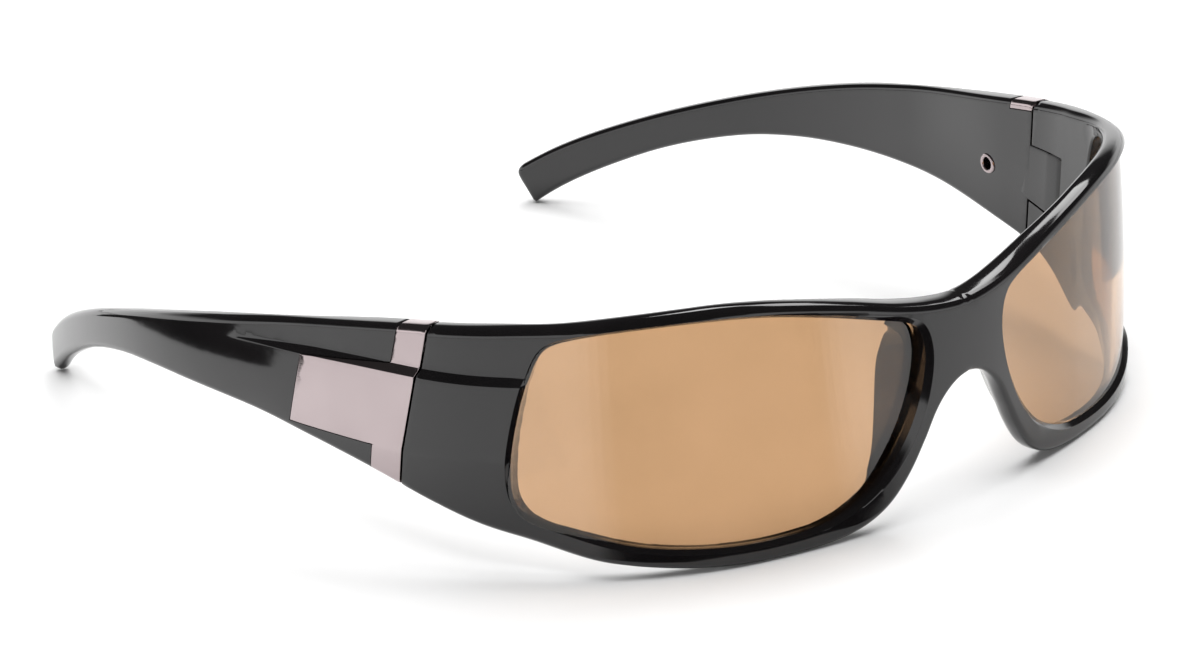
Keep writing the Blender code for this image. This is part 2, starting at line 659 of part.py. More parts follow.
def resting_pitch(front, temples):
    """Tilt about X at which the rims and the temple tips reach down equally far."""
    def lowest(points, tilt):
        return (points[:, 1] * math.sin(tilt) + points[:, 2] * math.cos(tilt)).min()
    low, high = math.radians(-20), math.radians(20)
    for _ in range(50):
        tilt = (low + high) / 2
        if lowest(temples, tilt) < lowest(front, tilt):
            low = tilt
        else:
            high = tilt
    return tilt, lowest(front, tilt)


def points_of(obj):
    graph = bpy.context.evaluated_depsgraph_get()
    mesh = obj.evaluated_get(graph).to_mesh()
    return np.array([v.co for v in mesh.vertices])


def hang(obj, parent):
    """Puts a piece under a parent without moving it, so that its origin is the parent's axis."""
    place = parent.matrix_world.copy()
    obj.parent = parent
    obj.data.transform(place.inverted())


def finish(obj, color, sharp_degrees=35):
    obj.data.materials.clear()
    obj.data.materials.append(material(color))
    obj.data.shade_smooth()
    obj.data.set_sharp_from_angle(angle=math.radians(sharp_degrees))


def main():
    clear_scene()
    glasses = new_collection("sport_sunglasses")
    cutters = new_collection("cutters", hidden=True)
    hinge = hinge_frame()
    front = build_front(glasses, cutters, hinge)
    lenses = pair(build_lens(glasses, cutters), glasses)
    screws = pair(build_screw(glasses, cutters, hinge), glasses)
    temples = pair(build_temple(glasses, cutters, hinge), glasses)
    trims = pair(build_trim(glasses, cutters, hinge), glasses)
    eyelets = pair(build_eyelet(glasses), glasses)
    eyelets[0].name, eyelets[1].name = "trim_eyelet_left", "trim_eyelet_right"
    bpy.context.view_layer.update()

    front_points = points_of(front)
    tilt, floor = resting_pitch(front_points, points_of(temples[0]))
    everything = np.vstack([points_of(obj) for obj in (front, *temples)])
    turned_y = everything[:, 1] * math.cos(tilt) - everything[:, 2] * math.sin(tilt)
    middle = (turned_y.min() + turned_y.max()) / 2
    stand = bpy.data.objects.new("sunglasses", None)
    glasses.objects.link(stand)
    for side, name in ((1, "left"), (-1, "right")):
        pivot = bpy.data.objects.new("hinge_pin_" + name, None)
        glasses.objects.link(pivot)
        flip = Matrix.Scale(side, 4, (1, 0, 0))
        pivot.matrix_world = Matrix.Translation(flip @ hinge.translation)
        axis = flip.to_3x3() @ hinge.col[2].xyz
        pivot.rotation_euler = axis.to_track_quat("Z", "Y").to_euler()
        pivot.parent = stand
        bpy.context.view_layer.update()
        index = 0 if side > 0 else 1
        for obj in (temples[index], trims[index], eyelets[index]):
            hang(obj, pivot)
    for obj in (front, *lenses, *screws):
        obj.parent = stand
    stand.rotation_euler = (tilt, 0, 0)
    stand.location = (0, -middle, -floor)

    finish(front, "black nylon")
    for obj in lenses:
        finish(obj, "brown lens")
    for obj in temples:
        finish(obj, "black nylon")
    for obj in (*trims, *eyelets):
        finish(obj, "satin nickel")
    for obj in screws:
        finish(obj, "steel")


main()
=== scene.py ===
"""Looks of the wraparound sport sunglasses: finely meshed mouldings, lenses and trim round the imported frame.

Every piece is first laid out flat, as if the wrap were unrolled: length along the outer face from
the nose, depth into the piece, and height above the lowest point of the rims, all in millimetres.
`formed` bends that layout round the wrap curve, and `placed` stands it on the floor in metres.
Pieces are made for the wearer's left side, at +X, and mirrored for the right side.
"""
import math

import bmesh
import bpy
import numpy as np
from mathutils import Matrix, Vector
from mathutils.geometry import delaunay_2d_cdt


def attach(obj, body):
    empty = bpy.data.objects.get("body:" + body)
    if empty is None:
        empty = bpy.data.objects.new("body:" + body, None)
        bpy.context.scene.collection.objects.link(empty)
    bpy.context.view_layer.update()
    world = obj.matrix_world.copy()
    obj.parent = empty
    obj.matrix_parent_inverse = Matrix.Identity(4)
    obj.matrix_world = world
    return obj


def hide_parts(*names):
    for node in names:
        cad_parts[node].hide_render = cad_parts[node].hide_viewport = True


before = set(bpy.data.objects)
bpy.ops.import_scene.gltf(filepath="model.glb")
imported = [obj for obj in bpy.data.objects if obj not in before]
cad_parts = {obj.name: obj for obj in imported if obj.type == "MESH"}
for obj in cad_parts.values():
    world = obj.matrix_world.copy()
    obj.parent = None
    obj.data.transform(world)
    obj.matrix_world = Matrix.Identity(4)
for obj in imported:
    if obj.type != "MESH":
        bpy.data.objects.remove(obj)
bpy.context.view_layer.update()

MM = 0.001

# ---------------------------------------------------------------- layout, in mm

# Wrap curve of the outer face: (length from the nose, tangent angle in degrees)
WRAP = [(0, 0), (10, 9), (22, 12.5), (34, 18), (50, 35), (65, 53), (80, 69), (95, 82),
        (130, 89), (170, 108), (212, 118)]
FACE_CROWN = 0.0035             # curvature of the front from top to bottom
TEMPLE_FLARE = 0.09             # the temples lean out at their lower edge by this slope
CROWN_HEIGHT = 18.5
FLARE_START, FLARE_END = 70, 100
STAND_TILT = 0.0516799          # the layout stands on the rims and temple tips at this tilt
STAND_SHIFT = np.array([0, -81.1644, -0.2971])

# Outlines on the layout: (length, height)
BROW_TOP = [(0, 33.8), (6, 34.3), (12, 35.4), (20, 37.5), (28, 39.3), (36, 40.6), (44, 41.1),
            (56, 40.5), (70, 38.8), (82, 37.0), (96, 34.7)]
RIM_BOTTOM = [(0, 21.8), (3.2, 20.8), (6.2, 17.9), (8.8, 13.2), (11.6, 8.4), (15, 4.3), (19, 1.8),
              (24, 0.5), (32, 0), (42, 0), (54, 1.0), (66, 2.7), (80, 5.2), (90, 8.0), (98, 10.2)]
OPENING = [(69.6, 35.2), (65.5, 37.1), (58, 38.5), (47, 39.2), (37, 38.7), (27, 36.8), (17, 34.1),
           (10.4, 31.9), (8.7, 29.6), (8.3, 25.2), (9.8, 18.8), (13, 12.6), (18, 7.4), (25, 4.1),
           (33, 3.1), (43, 3.2), (55, 4.3), (66, 6.6), (73, 8.3), (75.4, 11.2), (75.4, 17),
           (74.1, 24), (72.1, 30.6)]
TEMPLE_TOP = [(78, 37.7), (96, 34.7), (112, 31.6), (126, 28.7), (142, 24.9), (160, 19.8),
              (178, 13.8), (192, 8.3), (202, 3.6), (210, -1.2), (216, -5.5)]
TEMPLE_BOTTOM = [(78, 4.8), (96, 9.7), (106, 11.6), (118, 13.1), (130, 13.7), (142, 13.5),
                 (154, 12.6), (166, 10.6), (180, 6.4), (192, 1.2), (202, -4.2), (212, -11.2)]
LEDGE = [(58, 31.2), (74, 29.6), (83, 28.7), (92, 27.9), (104, 26.9), (116, 25.7), (130, 24.4),
         (142, 22.8)]
LOWER_CREASE = [(58, 18.6), (80, 17.1), (94, 15.8), (104, 15.2), (118, 14.6), (134, 13.6)]
WING_PATH = [(13.0, 32.9), (9.8, 30.4), (8.2, 25.4), (8.9, 19.4), (11.6, 12.8), (15.6, 7.6),
             (19.0, 5.2)]

RIM_THICKNESS, ENDPIECE_THICKNESS = 3.8, 5.0
ENDPIECE_START, ENDPIECE_FULL = 66, 80
LEDGE_DEPTH, LOWER_SLOPE = 1.1, 0.17
RISE_START, RISE_END, FADE_START, FADE_END = 60, 76, 112, 136
LENS_THICKNESS, LENS_RECESS, LENS_GRIP = 1.8, 0.9, 0.5
WING_REACH, WING_THICKNESS, WING_FLARE = 4.8, 1.8, 0.85
TEMPLE_THICKNESS, THICK_END, THIN_START = 3.4, 100, 126
TIP_THICKNESS, TIP_CUT, TIP_SLOPE = 3.0, 207.5, 0.55

HINGE_LENGTH, HINGE_RAKE, HINGE_HEIGHT = 93.0, 0.205, 21.6
PIN_AHEAD, PIN_DEPTH, SPLIT_GAP, GAP = 7.0, 3.0, 0.4, 0.3
TONGUE_HEIGHT, TONGUE_THICKNESS, TONGUE_ROOT = 10.0, 3.3, 2.5
SCREW_RADIUS, SCREW_HEAD_RADIUS, SCREW_HEAD_HEIGHT = 0.6, 0.95, 0.9
SCREW_LOWER_GRIP, SCREW_UPPER_GRIP = 2.6, 3.2
TRIM_STRIP, TRIM_BLOCK, TRIM_HEM = 6.0, 23.6, 1.5
TONGUE_SLANT, SPLIT_AHEAD = 0.22, 7.2
STUD_BACK, STUD_HEIGHT, STUD_HOLE = 11.0, 21.2, 1.0
EYELET_RADIUS, EYELET_STAND = 1.7, 0.4

GRID = 1.1                      # spacing of the mesh on open faces
ROW_SHARE = 0.866               # height of an even triangle over its side
EDGE_STEP = 0.6                 # spacing of the mesh along edges
CREASE_SOFTNESS = 0.12          # half width of the rounding at the ledge's corners
RIM_BEVEL, NOSE_BEVEL = 0.6, 1.0    # width of the slope down to the lens, and the same beside the nose
NOSE_RECESS, NOSE_EXTRA = 1.7, 1.2  # how much deeper the lens and thicker the rim is beside the nose
TEMPLE_CROWN = 45.0             # radius of the temple's outer face from top to bottom
LOWER_SOFTNESS = 0.4            # half width of the rounding at the lower crease
LINE_CLEARANCE = 0.03           # least distance from a line that the mesh follows to an edge

# Roundings of the edges: (outer face, inner face)
EDGE_ROUND, NOSE_ROUND, BROW_ROUND = (1.2, 1.2), (0.8, 3.6), (1.6, 1.4)
TEMPLE_ROUND, TIP_ROUND, SPLIT_ROUND, TEMPLE_SPLIT_ROUND = (1.2, 1.1), (1.0, 1.0), (0.15, 0.15), (0.12, 0.12)
TIP_CORNER = 1.7                # how far the bend at the top of the tip's end face reaches

POCKET_DEPTH, PLATE_PROUD, PLATE_ROUND, PLATE_SHEET = 0.3, 0.03, 0.14, 0.25
POCKET_WALL = 0.1               # width of the slope down into the trim plate's pocket
CUTTER_REACH = 12.0             # how far cutters go past the piece that they cut


def smooth(points, x):
    """Height at x of the smooth curve through the points, which never overshoots them."""
    px = np.array([p[0] for p in points], float)
    py = np.array([p[1] for p in points], float)
    slope = np.diff(py) / np.diff(px)
    tangent = np.zeros(len(px))
    for i in range(1, len(px) - 1):
        if slope[i - 1] * slope[i] > 0:
            tangent[i] = 2 / (1 / slope[i - 1] + 1 / slope[i])
    tangent[0], tangent[-1] = slope[0], slope[-1]
    x = np.asarray(x, float)
    i = np.clip(np.searchsorted(px, x) - 1, 0, len(slope) - 1)
    width = px[i + 1] - px[i]
    t = np.clip((x - px[i]) / width, 0, 1)
    rise = t * t * (3 - 2 * t)
    return (py[i] * (1 - rise) + py[i + 1] * rise
            + width * (tangent[i] * t * (1 - t) ** 2 - tangent[i + 1] * t * t * (1 - t)))


def fade(x, start, end):
    """0 before start, 1 after end, smooth between."""
    t = np.clip((np.asarray(x, float) - start) / (end - start), 0, 1)
    return t * t * (3 - 2 * t)


def curve_through(points, closed=False, steps=16):
    """A smooth line through the points."""
    p = np.array(points, float)
    count = len(p)
    out = []
    for i in range(count if closed else count - 1):
        before = p[(i - 1) % count] if closed or i > 0 else 2 * p[0] - p[1]
        after = p[(i + 2) % count] if closed or i + 2 < count else 2 * p[-1] - p[-2]
        a, b = p[i], p[(i + 1) % count]
        span = np.linalg.norm(b - a)
        into = (b - before) * span / (span + np.linalg.norm(a - before))
        away = (after - a) * span / (span + np.linalg.norm(after - b))
        for k in range(steps):
            t = k / steps
            out.append(a * (1 + 2 * t) * (1 - t) ** 2 + b * t * t * (3 - 2 * t)
                       + into * t * (1 - t) ** 2 - away * t * t * (1 - t))
    out.append(p[0] if closed else p[-1])
    return np.array(out)


LENGTHS = np.linspace(0, 230, 2301)
ANGLES = np.radians(smooth(WRAP, LENGTHS))
HALF_STEP = (LENGTHS[1] - LENGTHS[0]) / 2
PLAN_X = np.concatenate([[0], np.cumsum(np.cos(ANGLES[1:]) + np.cos(ANGLES[:-1]))]) * HALF_STEP
PLAN_Y = np.concatenate([[0], np.cumsum(np.sin(ANGLES[1:]) + np.sin(ANGLES[:-1]))]) * HALF_STEP


def formed(length, depth, height):
    """Where a point of the flat layout lies once the wrap is formed."""
    along = np.abs(length)
    x = np.interp(along, LENGTHS, PLAN_X)
    y = np.interp(along, LENGTHS, PLAN_Y)
    angle = np.interp(along, LENGTHS, ANGLES)
    temple = fade(along, FLARE_START, FLARE_END)
    drop = height - CROWN_HEIGHT
    out = -depth - (1 - temple) * FACE_CROWN * drop ** 2 / 2 - temple * TEMPLE_FLARE * drop
    x = (x + np.sin(angle) * out) * np.where(length < 0, -1, 1)
    return np.stack([x, y - np.cos(angle) * out, height + 0 * x], -1)


def placed(points):
    """Formed points, in mm, as they stand on the floor, in metres."""
    turn = np.array(Matrix.Rotation(STAND_TILT, 3, "X"))
    return (np.asarray(points, float) @ turn.T + STAND_SHIFT) * MM


# ---------------------------------------------------------------- flat meshes

def resampled(line, step):
    """The line with evenly spaced points about one step apart."""
    run = np.concatenate([[0], np.cumsum(np.linalg.norm(np.diff(line, axis=0), axis=1))])
    at = np.linspace(0, run[-1], max(2, int(round(run[-1] / step)) + 1))
    return np.stack([np.interp(at, run, line[:, 0]), np.interp(at, run, line[:, 1])], 1)


def clipped(line, side):
    """The part of an open line where side(points) is positive, ending exactly where it turns zero."""
    value = side(line)
    out = []
    for i in range(len(line)):
        if i and value[i - 1] * value[i] < 0:
            share = value[i - 1] / (value[i - 1] - value[i])
            out.append(line[i - 1] + share * (line[i] - line[i - 1]))
        if value[i] >= 0:
            out.append(line[i])
    return np.array(out)


def shifted(line, distance):
    """The line moved to its left."""
    if np.allclose(line[0], line[-1]):
        ahead = np.roll(line[:-1], -1, 0) - np.roll(line[:-1], 1, 0)
        ahead = np.vstack([ahead, ahead[:1]])
    else:
        ahead = np.gradient(line, axis=0)
    ahead /= np.linalg.norm(ahead, axis=1)[:, None]
    return line + distance * np.stack([-ahead[:, 1], ahead[:, 0]], 1)


def distance(points, line):
    """Distance from each point to the line."""
    a, span = line[:-1], np.diff(line, axis=0)
    size = np.maximum((span ** 2).sum(1), 1e-12)
    best = np.full(len(points), 1e9)
    for start in range(0, len(points), 4000):
        rel = points[start:start + 4000, None] - a
        t = np.clip((rel * span).sum(-1) / size, 0, 1)
        gap = np.linalg.norm(rel - t[..., None] * span, axis=-1)
        best[start:start + 4000] = gap.min(1)
    return best


def inside(points, loop):
    """Whether each point lies inside the closed loop."""
    x, z = points[:, 0][:, None], points[:, 1][:, None]
    ax, az = loop[:-1, 0], loop[:-1, 1]
    bx, bz = loop[1:, 0], loop[1:, 1]
    crosses = (az > z) != (bz > z)
    rise = np.where(np.abs(bz - az) < 1e-12, 1e-12, bz - az)
    return (crosses & (x < (bx - ax) * (z - az) / rise + ax)).sum(1) % 2 == 1


def rounding(gap, radius):
    """Depth of a rounded edge at a distance from the outline."""
    short = np.clip(radius - gap, 0, radius)
    return radius - np.sqrt(radius ** 2 - short ** 2)


def softly(x, softness):
    """0 below zero and x above it, with a rounded corner."""
    middle = (x + softness) ** 2 / (4 * softness)
    return np.where(x < -softness, 0, np.where(x > softness, x, middle))


def rings(radius, steps=5):
    """Distances from an edge at which its rounding needs points."""
    return [radius * (1 - math.cos(math.pi / 2 * k / steps)) for k in range(1, steps + 1)]


def offset_lines(edges):
    """Lines beside each edge where its rounding needs points, each with its least distance to any
    edge."""
    return [(shifted(line, gap), 0.98 * gap) for line, radii in edges for radius in radii
            for gap in rings(radius)]


def kept_runs(line, keep):
    """The unbroken stretches of the line that are kept."""
    runs, run = [], []
    for point, kept in zip([*line, line[-1]], [*keep, False]):
        if kept:
            run.append(point)
        elif run:
            runs.append(run)
            run = []
    return runs


def domain(edges, openings, lines):
    """Triangles over an outline. edges and openings are (line, radii), counter-clockwise."""
    outer = np.vstack([line for line, _ in edges])
    borders = [*edges, *openings]
    points, links = [], []

    def add(line):
        start = len(points)
        points.extend(line)
        links.extend((start + i, start + i + 1) for i in range(len(line) - 1))

    def covered(places):
        keep = inside(places, outer)
        for loop, _ in openings:
            keep &= ~inside(places, loop)
        return keep

    for line, _ in borders:
        add(line)
    followed = offset_lines(borders) + [(line, LINE_CLEARANCE) for line in lines]
    for line, room in followed:
        clear = np.min([distance(line, border) for border, _ in borders], axis=0)
        for run in kept_runs(line, covered(line) & (clear > room)):
            add(run)
    low, high = outer.min(0), outer.max(0)
    rows = np.arange(low[1], high[1], GRID * ROW_SHARE)
    grid = np.array([(x + GRID / 2 * (k % 2), z) for k, z in enumerate(rows)
                     for x in np.arange(low[0], high[0], GRID)])
    grid = grid[covered(grid)]
    near = np.min([distance(grid, line) for line, _ in [*borders, *followed]], axis=0)
    points.extend(grid[near > GRID * 0.45])
    made = delaunay_2d_cdt([Vector(p) for p in points], links, [], 0, 1e-4)
    flat = np.array([tuple(v) for v in made[0]])
    tris = np.array([tuple(f) for f in made[2]])
    corner = flat[tris]
    turn = ((corner[:, 1, 0] - corner[:, 0, 0]) * (corner[:, 2, 1] - corner[:, 0, 1])
            - (corner[:, 1, 1] - corner[:, 0, 1]) * (corner[:, 2, 0] - corner[:, 0, 0]))
    tris = np.where(turn[:, None] < 0, tris[:, ::-1], tris)
    tris = tris[covered(corner.mean(1)) & (np.abs(turn) > 1e-7)]
    used, tris = np.unique(tris, return_inverse=True)
    return flat[used], tris.reshape(-1, 3)


def shell(flat, tris, front, back):
    """Closed body between two depths over the triangles, open only where the length is 0."""
    count = len(flat)
    points = np.vstack([formed(flat[:, 0], front, flat[:, 1]), formed(flat[:, 0], back, flat[:, 1])])
    faces = [tuple(t) for t in tris] + [tuple(t) for t in tris[:, ::-1] + count]
    sides = {(t[i], t[(i + 1) % 3]) for t in tris.tolist() for i in range(3)}
    for i, j in sorted(sides):
        if (j, i) not in sides and not (flat[i, 0] < 1e-3 and flat[j, 0] < 1e-3):
            faces.append((j, i, i + count, j + count))
    return points, faces


# ---------------------------------------------------------------- objects

def piece(name, points, faces, finish):
    mesh = bpy.data.meshes.new(name)
    mesh.from_pydata([tuple(p) for p in points], [], [tuple(int(i) for i in f) for f in faces])
    mesh.materials.append(finish)
    obj = bpy.data.objects.new(name, mesh)
    bpy.context.scene.collection.objects.link(obj)
    return obj


def applied(obj):
    """Turns the object's modifiers into its mesh."""
    bpy.context.view_layer.update()
    graph = bpy.context.evaluated_depsgraph_get()
    mesh = bpy.data.meshes.new_from_object(obj.evaluated_get(graph))
    obj.modifiers.clear()
    obj.data = mesh
    return obj


def combined(obj, others, operation="DIFFERENCE"):
    """Cuts the others from the object, or joins them to it, and removes them."""
    for other in others:
        step = obj.modifiers.new(other.name, "BOOLEAN")
        step.operation = operation
        step.solver = "EXACT"
        step.object = other
    applied(obj)
    for other in others:
        bpy.data.objects.remove(other)
    return obj


def shaded(obj, degrees=32):
    obj.data.shade_smooth()
    obj.data.set_sharp_from_angle(angle=math.radians(degrees))
    return obj


def mirrored(obj, name):
    """A copy of the object for the other side."""
    mesh = obj.data.copy()
    mesh.transform(Matrix.Scale(-1, 4, (1, 0, 0)))
    mesh.flip_normals()
    twin = bpy.data.objects.new(name, mesh)
    bpy.context.scene.collection.objects.link(twin)
    return twin


def frame_at(origin, up, back):
    """Frame in mm with Z along up and Y towards back."""
    up = up / np.linalg.norm(up)
    back = back - (back @ up) * up
    back = back / np.linalg.norm(back)
    return origin, np.stack([np.cross(back, up), back, up])


def in_frame(local, where):
    """Points given on a frame, in mm, as they stand on the floor, in metres."""
    origin, axes = where
    return placed(origin + np.asarray(local, float) @ axes)


def hinge_frame():
    """Left hinge: Z up the pin, Y back along the temple, X outwards, origin mid tongue."""
    def pin(height):
        length = HINGE_LENGTH - PIN_AHEAD + HINGE_RAKE * (HINGE_HEIGHT - height)
        return formed(length, PIN_DEPTH, height)
    middle = pin(HINGE_HEIGHT)
    up = pin(HINGE_HEIGHT + TONGUE_HEIGHT) - pin(HINGE_HEIGHT - TONGUE_HEIGHT)
    ahead = formed(HINGE_LENGTH - PIN_AHEAD + 4, PIN_DEPTH, HINGE_HEIGHT) - middle
    return frame_at(middle, up, ahead)


def stud_frame():
    """Left stud: Z out of the outer face."""
    length = HINGE_LENGTH + HINGE_RAKE * (HINGE_HEIGHT - STUD_HEIGHT) + STUD_BACK
    origin = formed(length, 0, STUD_HEIGHT)
    return frame_at(origin, formed(length, -1, STUD_HEIGHT) - origin,
                    formed(length + 1, 0, STUD_HEIGHT) - origin)


def turned(name, profile, where, finish, sides=64):
    """A body of revolution about the frame's Z axis from an open or closed profile of (radius, height)."""
    count = len(profile)
    points = []
    for k in range(sides):
        angle = 2 * math.pi * k / sides
        points += [(r * math.cos(angle), r * math.sin(angle), z) for r, z in profile]
    faces = []
    for k in range(sides):
        a, b = k * count, (k + 1) % sides * count
        for i in range(count):
            j = (i + 1) % count
            faces.append((a + i, a + j, b + j, b + i))
    obj = piece(name, in_frame(points, where), faces, finish)
    work = bmesh.new()
    work.from_mesh(obj.data)
    bmesh.ops.remove_doubles(work, verts=work.verts, dist=1e-7)
    bmesh.ops.recalc_face_normals(work, faces=work.faces)
    work.to_mesh(obj.data)
    work.free()
    return obj


def lofted(name, sections, finish):
    """A closed body through sections in metres that all have the same number of points."""
    count = len(sections[0])
    faces = [tuple(range(count))[::-1]]
    for k in range(len(sections) - 1):
        for i in range(count):
            j = (i + 1) % count
            faces.append((k * count + i, k * count + j, (k + 1) * count + j, (k + 1) * count + i))
    last = (len(sections) - 1) * count
    faces.append(tuple(range(last, last + count)))
    obj = piece(name, np.vstack(sections), faces, finish)
    work = bmesh.new()
    work.from_mesh(obj.data)
    bmesh.ops.recalc_face_normals(work, faces=work.faces)
    work.to_mesh(obj.data)
    work.free()
    return obj


def box(name, low, high, where, finish):
    """A block between two corners of a frame."""
    sections = [[(low[0], low[1], z), (high[0], low[1], z), (high[0], high[1], z),
                 (low[0], high[1], z)] for z in (low[2], high[2])]
    return lofted(name, [in_frame(s, where) for s in sections], finish)


# ---------------------------------------------------------------- finishes

SPREAD = {"From Min": 0.3, "From Max": 0.7}     # noise mostly stays in this range
COLOUR_A, COLOUR_B, COLOUR_OUT = 6, 7, 2        # the Mix node's colour sockets


def linear(code):
    """An sRGB hex colour as linear RGBA."""
    out = []
    for i in (1, 3, 5):
        value = int(code[i:i + 2], 16) / 255
        out.append(value / 12.92 if value <= 0.04045 else ((value + 0.055) / 1.055) ** 2.4)
    return (*out, 1.0)


def node(tree, kind, settings=None, values=None, links=None):
    """Adds a node with its settings, its input values and its input links."""
    made = tree.nodes.new(kind)
    for key, value in (settings or {}).items():
        setattr(made, key, value)
    for key, value in (values or {}).items():
        made.inputs[key].default_value = value
    for key, socket in (links or {}).items():
        tree.links.new(socket, made.inputs[key])
    return made


def finish(name, **values):
    """A material with its shader's constant values set. Returns it, its tree and the shader."""
    made = bpy.data.materials.new(name)
    made.use_nodes = True
    shader = made.node_tree.nodes["Principled BSDF"]
    for key, value in values.items():
        shader.inputs[key.replace("_", " ")].default_value = value
    return made, made.node_tree, shader


def wired(tree, shader, sources):
    """Links the sources to the shader's inputs of those names."""
    for key, socket in sources.items():
        tree.links.new(socket, shader.inputs[key])


def moulded_nylon():
    """Black polyamide, injection moulded in a polished tool: deep gloss with a faint orange peel,
    fine wiping haze and a slightly uneven black."""
    peel_size, haze_size, tone_size = 3.85 * MM, 11.1 * MM, 25.0 * MM    # from crest to crest
    wiping = (1, 0.35, 1)           # the haze runs three times as far along the temples
    made, tree, shader = finish("moulded_black_nylon", IOR=1.56)
    place = node(tree, "ShaderNodeTexCoord").outputs["Object"]
    peel = node(tree, "ShaderNodeTexNoise", None, {"Scale": 1 / peel_size, "Detail": 1.0},
                {"Vector": place})
    bump = node(tree, "ShaderNodeBump", None, {"Strength": 0.03, "Distance": 0.4 * MM},
                {"Height": peel.outputs["Fac"]})
    along = node(tree, "ShaderNodeMapping", None, {"Scale": wiping}, {"Vector": place})
    haze = node(tree, "ShaderNodeTexNoise", None, {"Scale": 1 / haze_size, "Detail": 4.0},
                {"Vector": along.outputs["Vector"]})
    rough = node(tree, "ShaderNodeMapRange", None, {**SPREAD, "To Min": 0.055, "To Max": 0.11},
                 {"Value": haze.outputs["Fac"]})
    tone = node(tree, "ShaderNodeTexNoise", None, {"Scale": 1 / tone_size, "Detail": 3.0},
                {"Vector": place})
    share = node(tree, "ShaderNodeMapRange", None, SPREAD, {"Value": tone.outputs["Fac"]})
    black = node(tree, "ShaderNodeMix", {"data_type": "RGBA"},
                 {COLOUR_A: linear("#0D0C0D"), COLOUR_B: linear("#151314")},
                 {"Factor": share.outputs["Result"]})
    wired(tree, shader, {"Base Color": black.outputs[COLOUR_OUT], "Roughness": rough.outputs["Result"],
                         "Normal": bump.outputs["Normal"]})
    return made


def tinted_polycarbonate():
    """Brown dyed polycarbonate, injection moulded and hard coated: clear, glossy and even, with a
    trace of wiping haze."""
    haze_size, wave_size = 18.2 * MM, 8.33 * MM
    made, tree, shader = finish("tinted_brown_polycarbonate", IOR=1.585, Transmission_Weight=1.0)
    place = node(tree, "ShaderNodeTexCoord").outputs["Object"]
    haze = node(tree, "ShaderNodeTexNoise", None, {"Scale": 1 / haze_size, "Detail": 3.0},
                {"Vector": place})
    share = node(tree, "ShaderNodeMapRange", None, SPREAD, {"Value": haze.outputs["Fac"]})
    brown = node(tree, "ShaderNodeMix", {"data_type": "RGBA"},
                 {COLOUR_A: linear("#BB9570"), COLOUR_B: linear("#B5906B")},
                 {"Factor": share.outputs["Result"]})
    rough = node(tree, "ShaderNodeMapRange", None, {**SPREAD, "To Min": 0.0, "To Max": 0.008},
                 {"Value": haze.outputs["Fac"]})
    wave = node(tree, "ShaderNodeTexNoise", None, {"Scale": 1 / wave_size, "Detail": 1.0},
                {"Vector": place})
    bump = node(tree, "ShaderNodeBump", None, {"Strength": 0.01, "Distance": 0.3 * MM},
                {"Height": wave.outputs["Fac"]})
    wired(tree, shader, {"Base Color": brown.outputs[COLOUR_OUT], "Roughness": rough.outputs["Result"],
                         "Normal": bump.outputs["Normal"]})
    return made


def satin_nickel():
    """Stamped steel with satin nickel plating: soft pinkish silver with a fine grain along its
    length. The real grain is 0.05 mm wide and is drawn 0.2 mm wide so that it shows."""
    grain_width, cloud_size = 0.2 * MM, 16.7 * MM
    brushing = (1, 0.04, 1)         # each scratch is 25 times as long as it is wide
    made, tree, shader = finish("satin_nickel_plate", Metallic=1.0)
    place = node(tree, "ShaderNodeTexCoord").outputs["Object"]
    along = node(tree, "ShaderNodeMapping", None, {"Scale": brushing}, {"Vector": place})
    grain = node(tree, "ShaderNodeTexNoise", None, {"Scale": 1 / grain_width, "Detail": 2.0},
                 {"Vector": along.outputs["Vector"]})
    rough = node(tree, "ShaderNodeMapRange", None, {**SPREAD, "To Min": 0.10, "To Max": 0.17},
                 {"Value": grain.outputs["Fac"]})
    bump = node(tree, "ShaderNodeBump", None, {"Strength": 0.05, "Distance": 0.05 * MM},
                {"Height": grain.outputs["Fac"]})
    cloud = node(tree, "ShaderNodeTexNoise", None, {"Scale": 1 / cloud_size, "Detail": 2.0},
                 {"Vector": place})
    share = node(tree, "ShaderNodeMapRange", None, SPREAD, {"Value": cloud.outputs["Fac"]})
    silver = node(tree, "ShaderNodeMix", {"data_type": "RGBA"},
                  {COLOUR_A: linear("#B4A7A8"), COLOUR_B: linear("#AA9D9E")},
                  {"Factor": share.outputs["Result"]})
    wired(tree, shader, {"Base Color": silver.outputs[COLOUR_OUT], "Roughness": rough.outputs["Result"],
                         "Normal": bump.outputs["Normal"]})
    return made


def turned_steel():
    """Stainless steel, turned on a lathe: bright, with fine tool marks and a little grime."""
    mark_width = 0.111 * MM
    made, tree, shader = finish("turned_stainless_steel", Metallic=1.0)
    place = node(tree, "ShaderNodeTexCoord").outputs["Object"]
    marks = node(tree, "ShaderNodeTexNoise", None, {"Scale": 1 / mark_width, "Detail": 1.0},
                 {"Vector": place})
    share = node(tree, "ShaderNodeMapRange", None, SPREAD, {"Value": marks.outputs["Fac"]})
    steel = node(tree, "ShaderNodeMix", {"data_type": "RGBA"},
                 {COLOUR_A: linear("#B9B8B4"), COLOUR_B: linear("#8F8E8B")},
                 {"Factor": share.outputs["Result"]})
    rough = node(tree, "ShaderNodeMapRange", None, {**SPREAD, "To Min": 0.22, "To Max": 0.4},
                 {"Value": marks.outputs["Fac"]})
    wired(tree, shader, {"Base Color": steel.outputs[COLOUR_OUT], "Roughness": rough.outputs["Result"]})
    return made


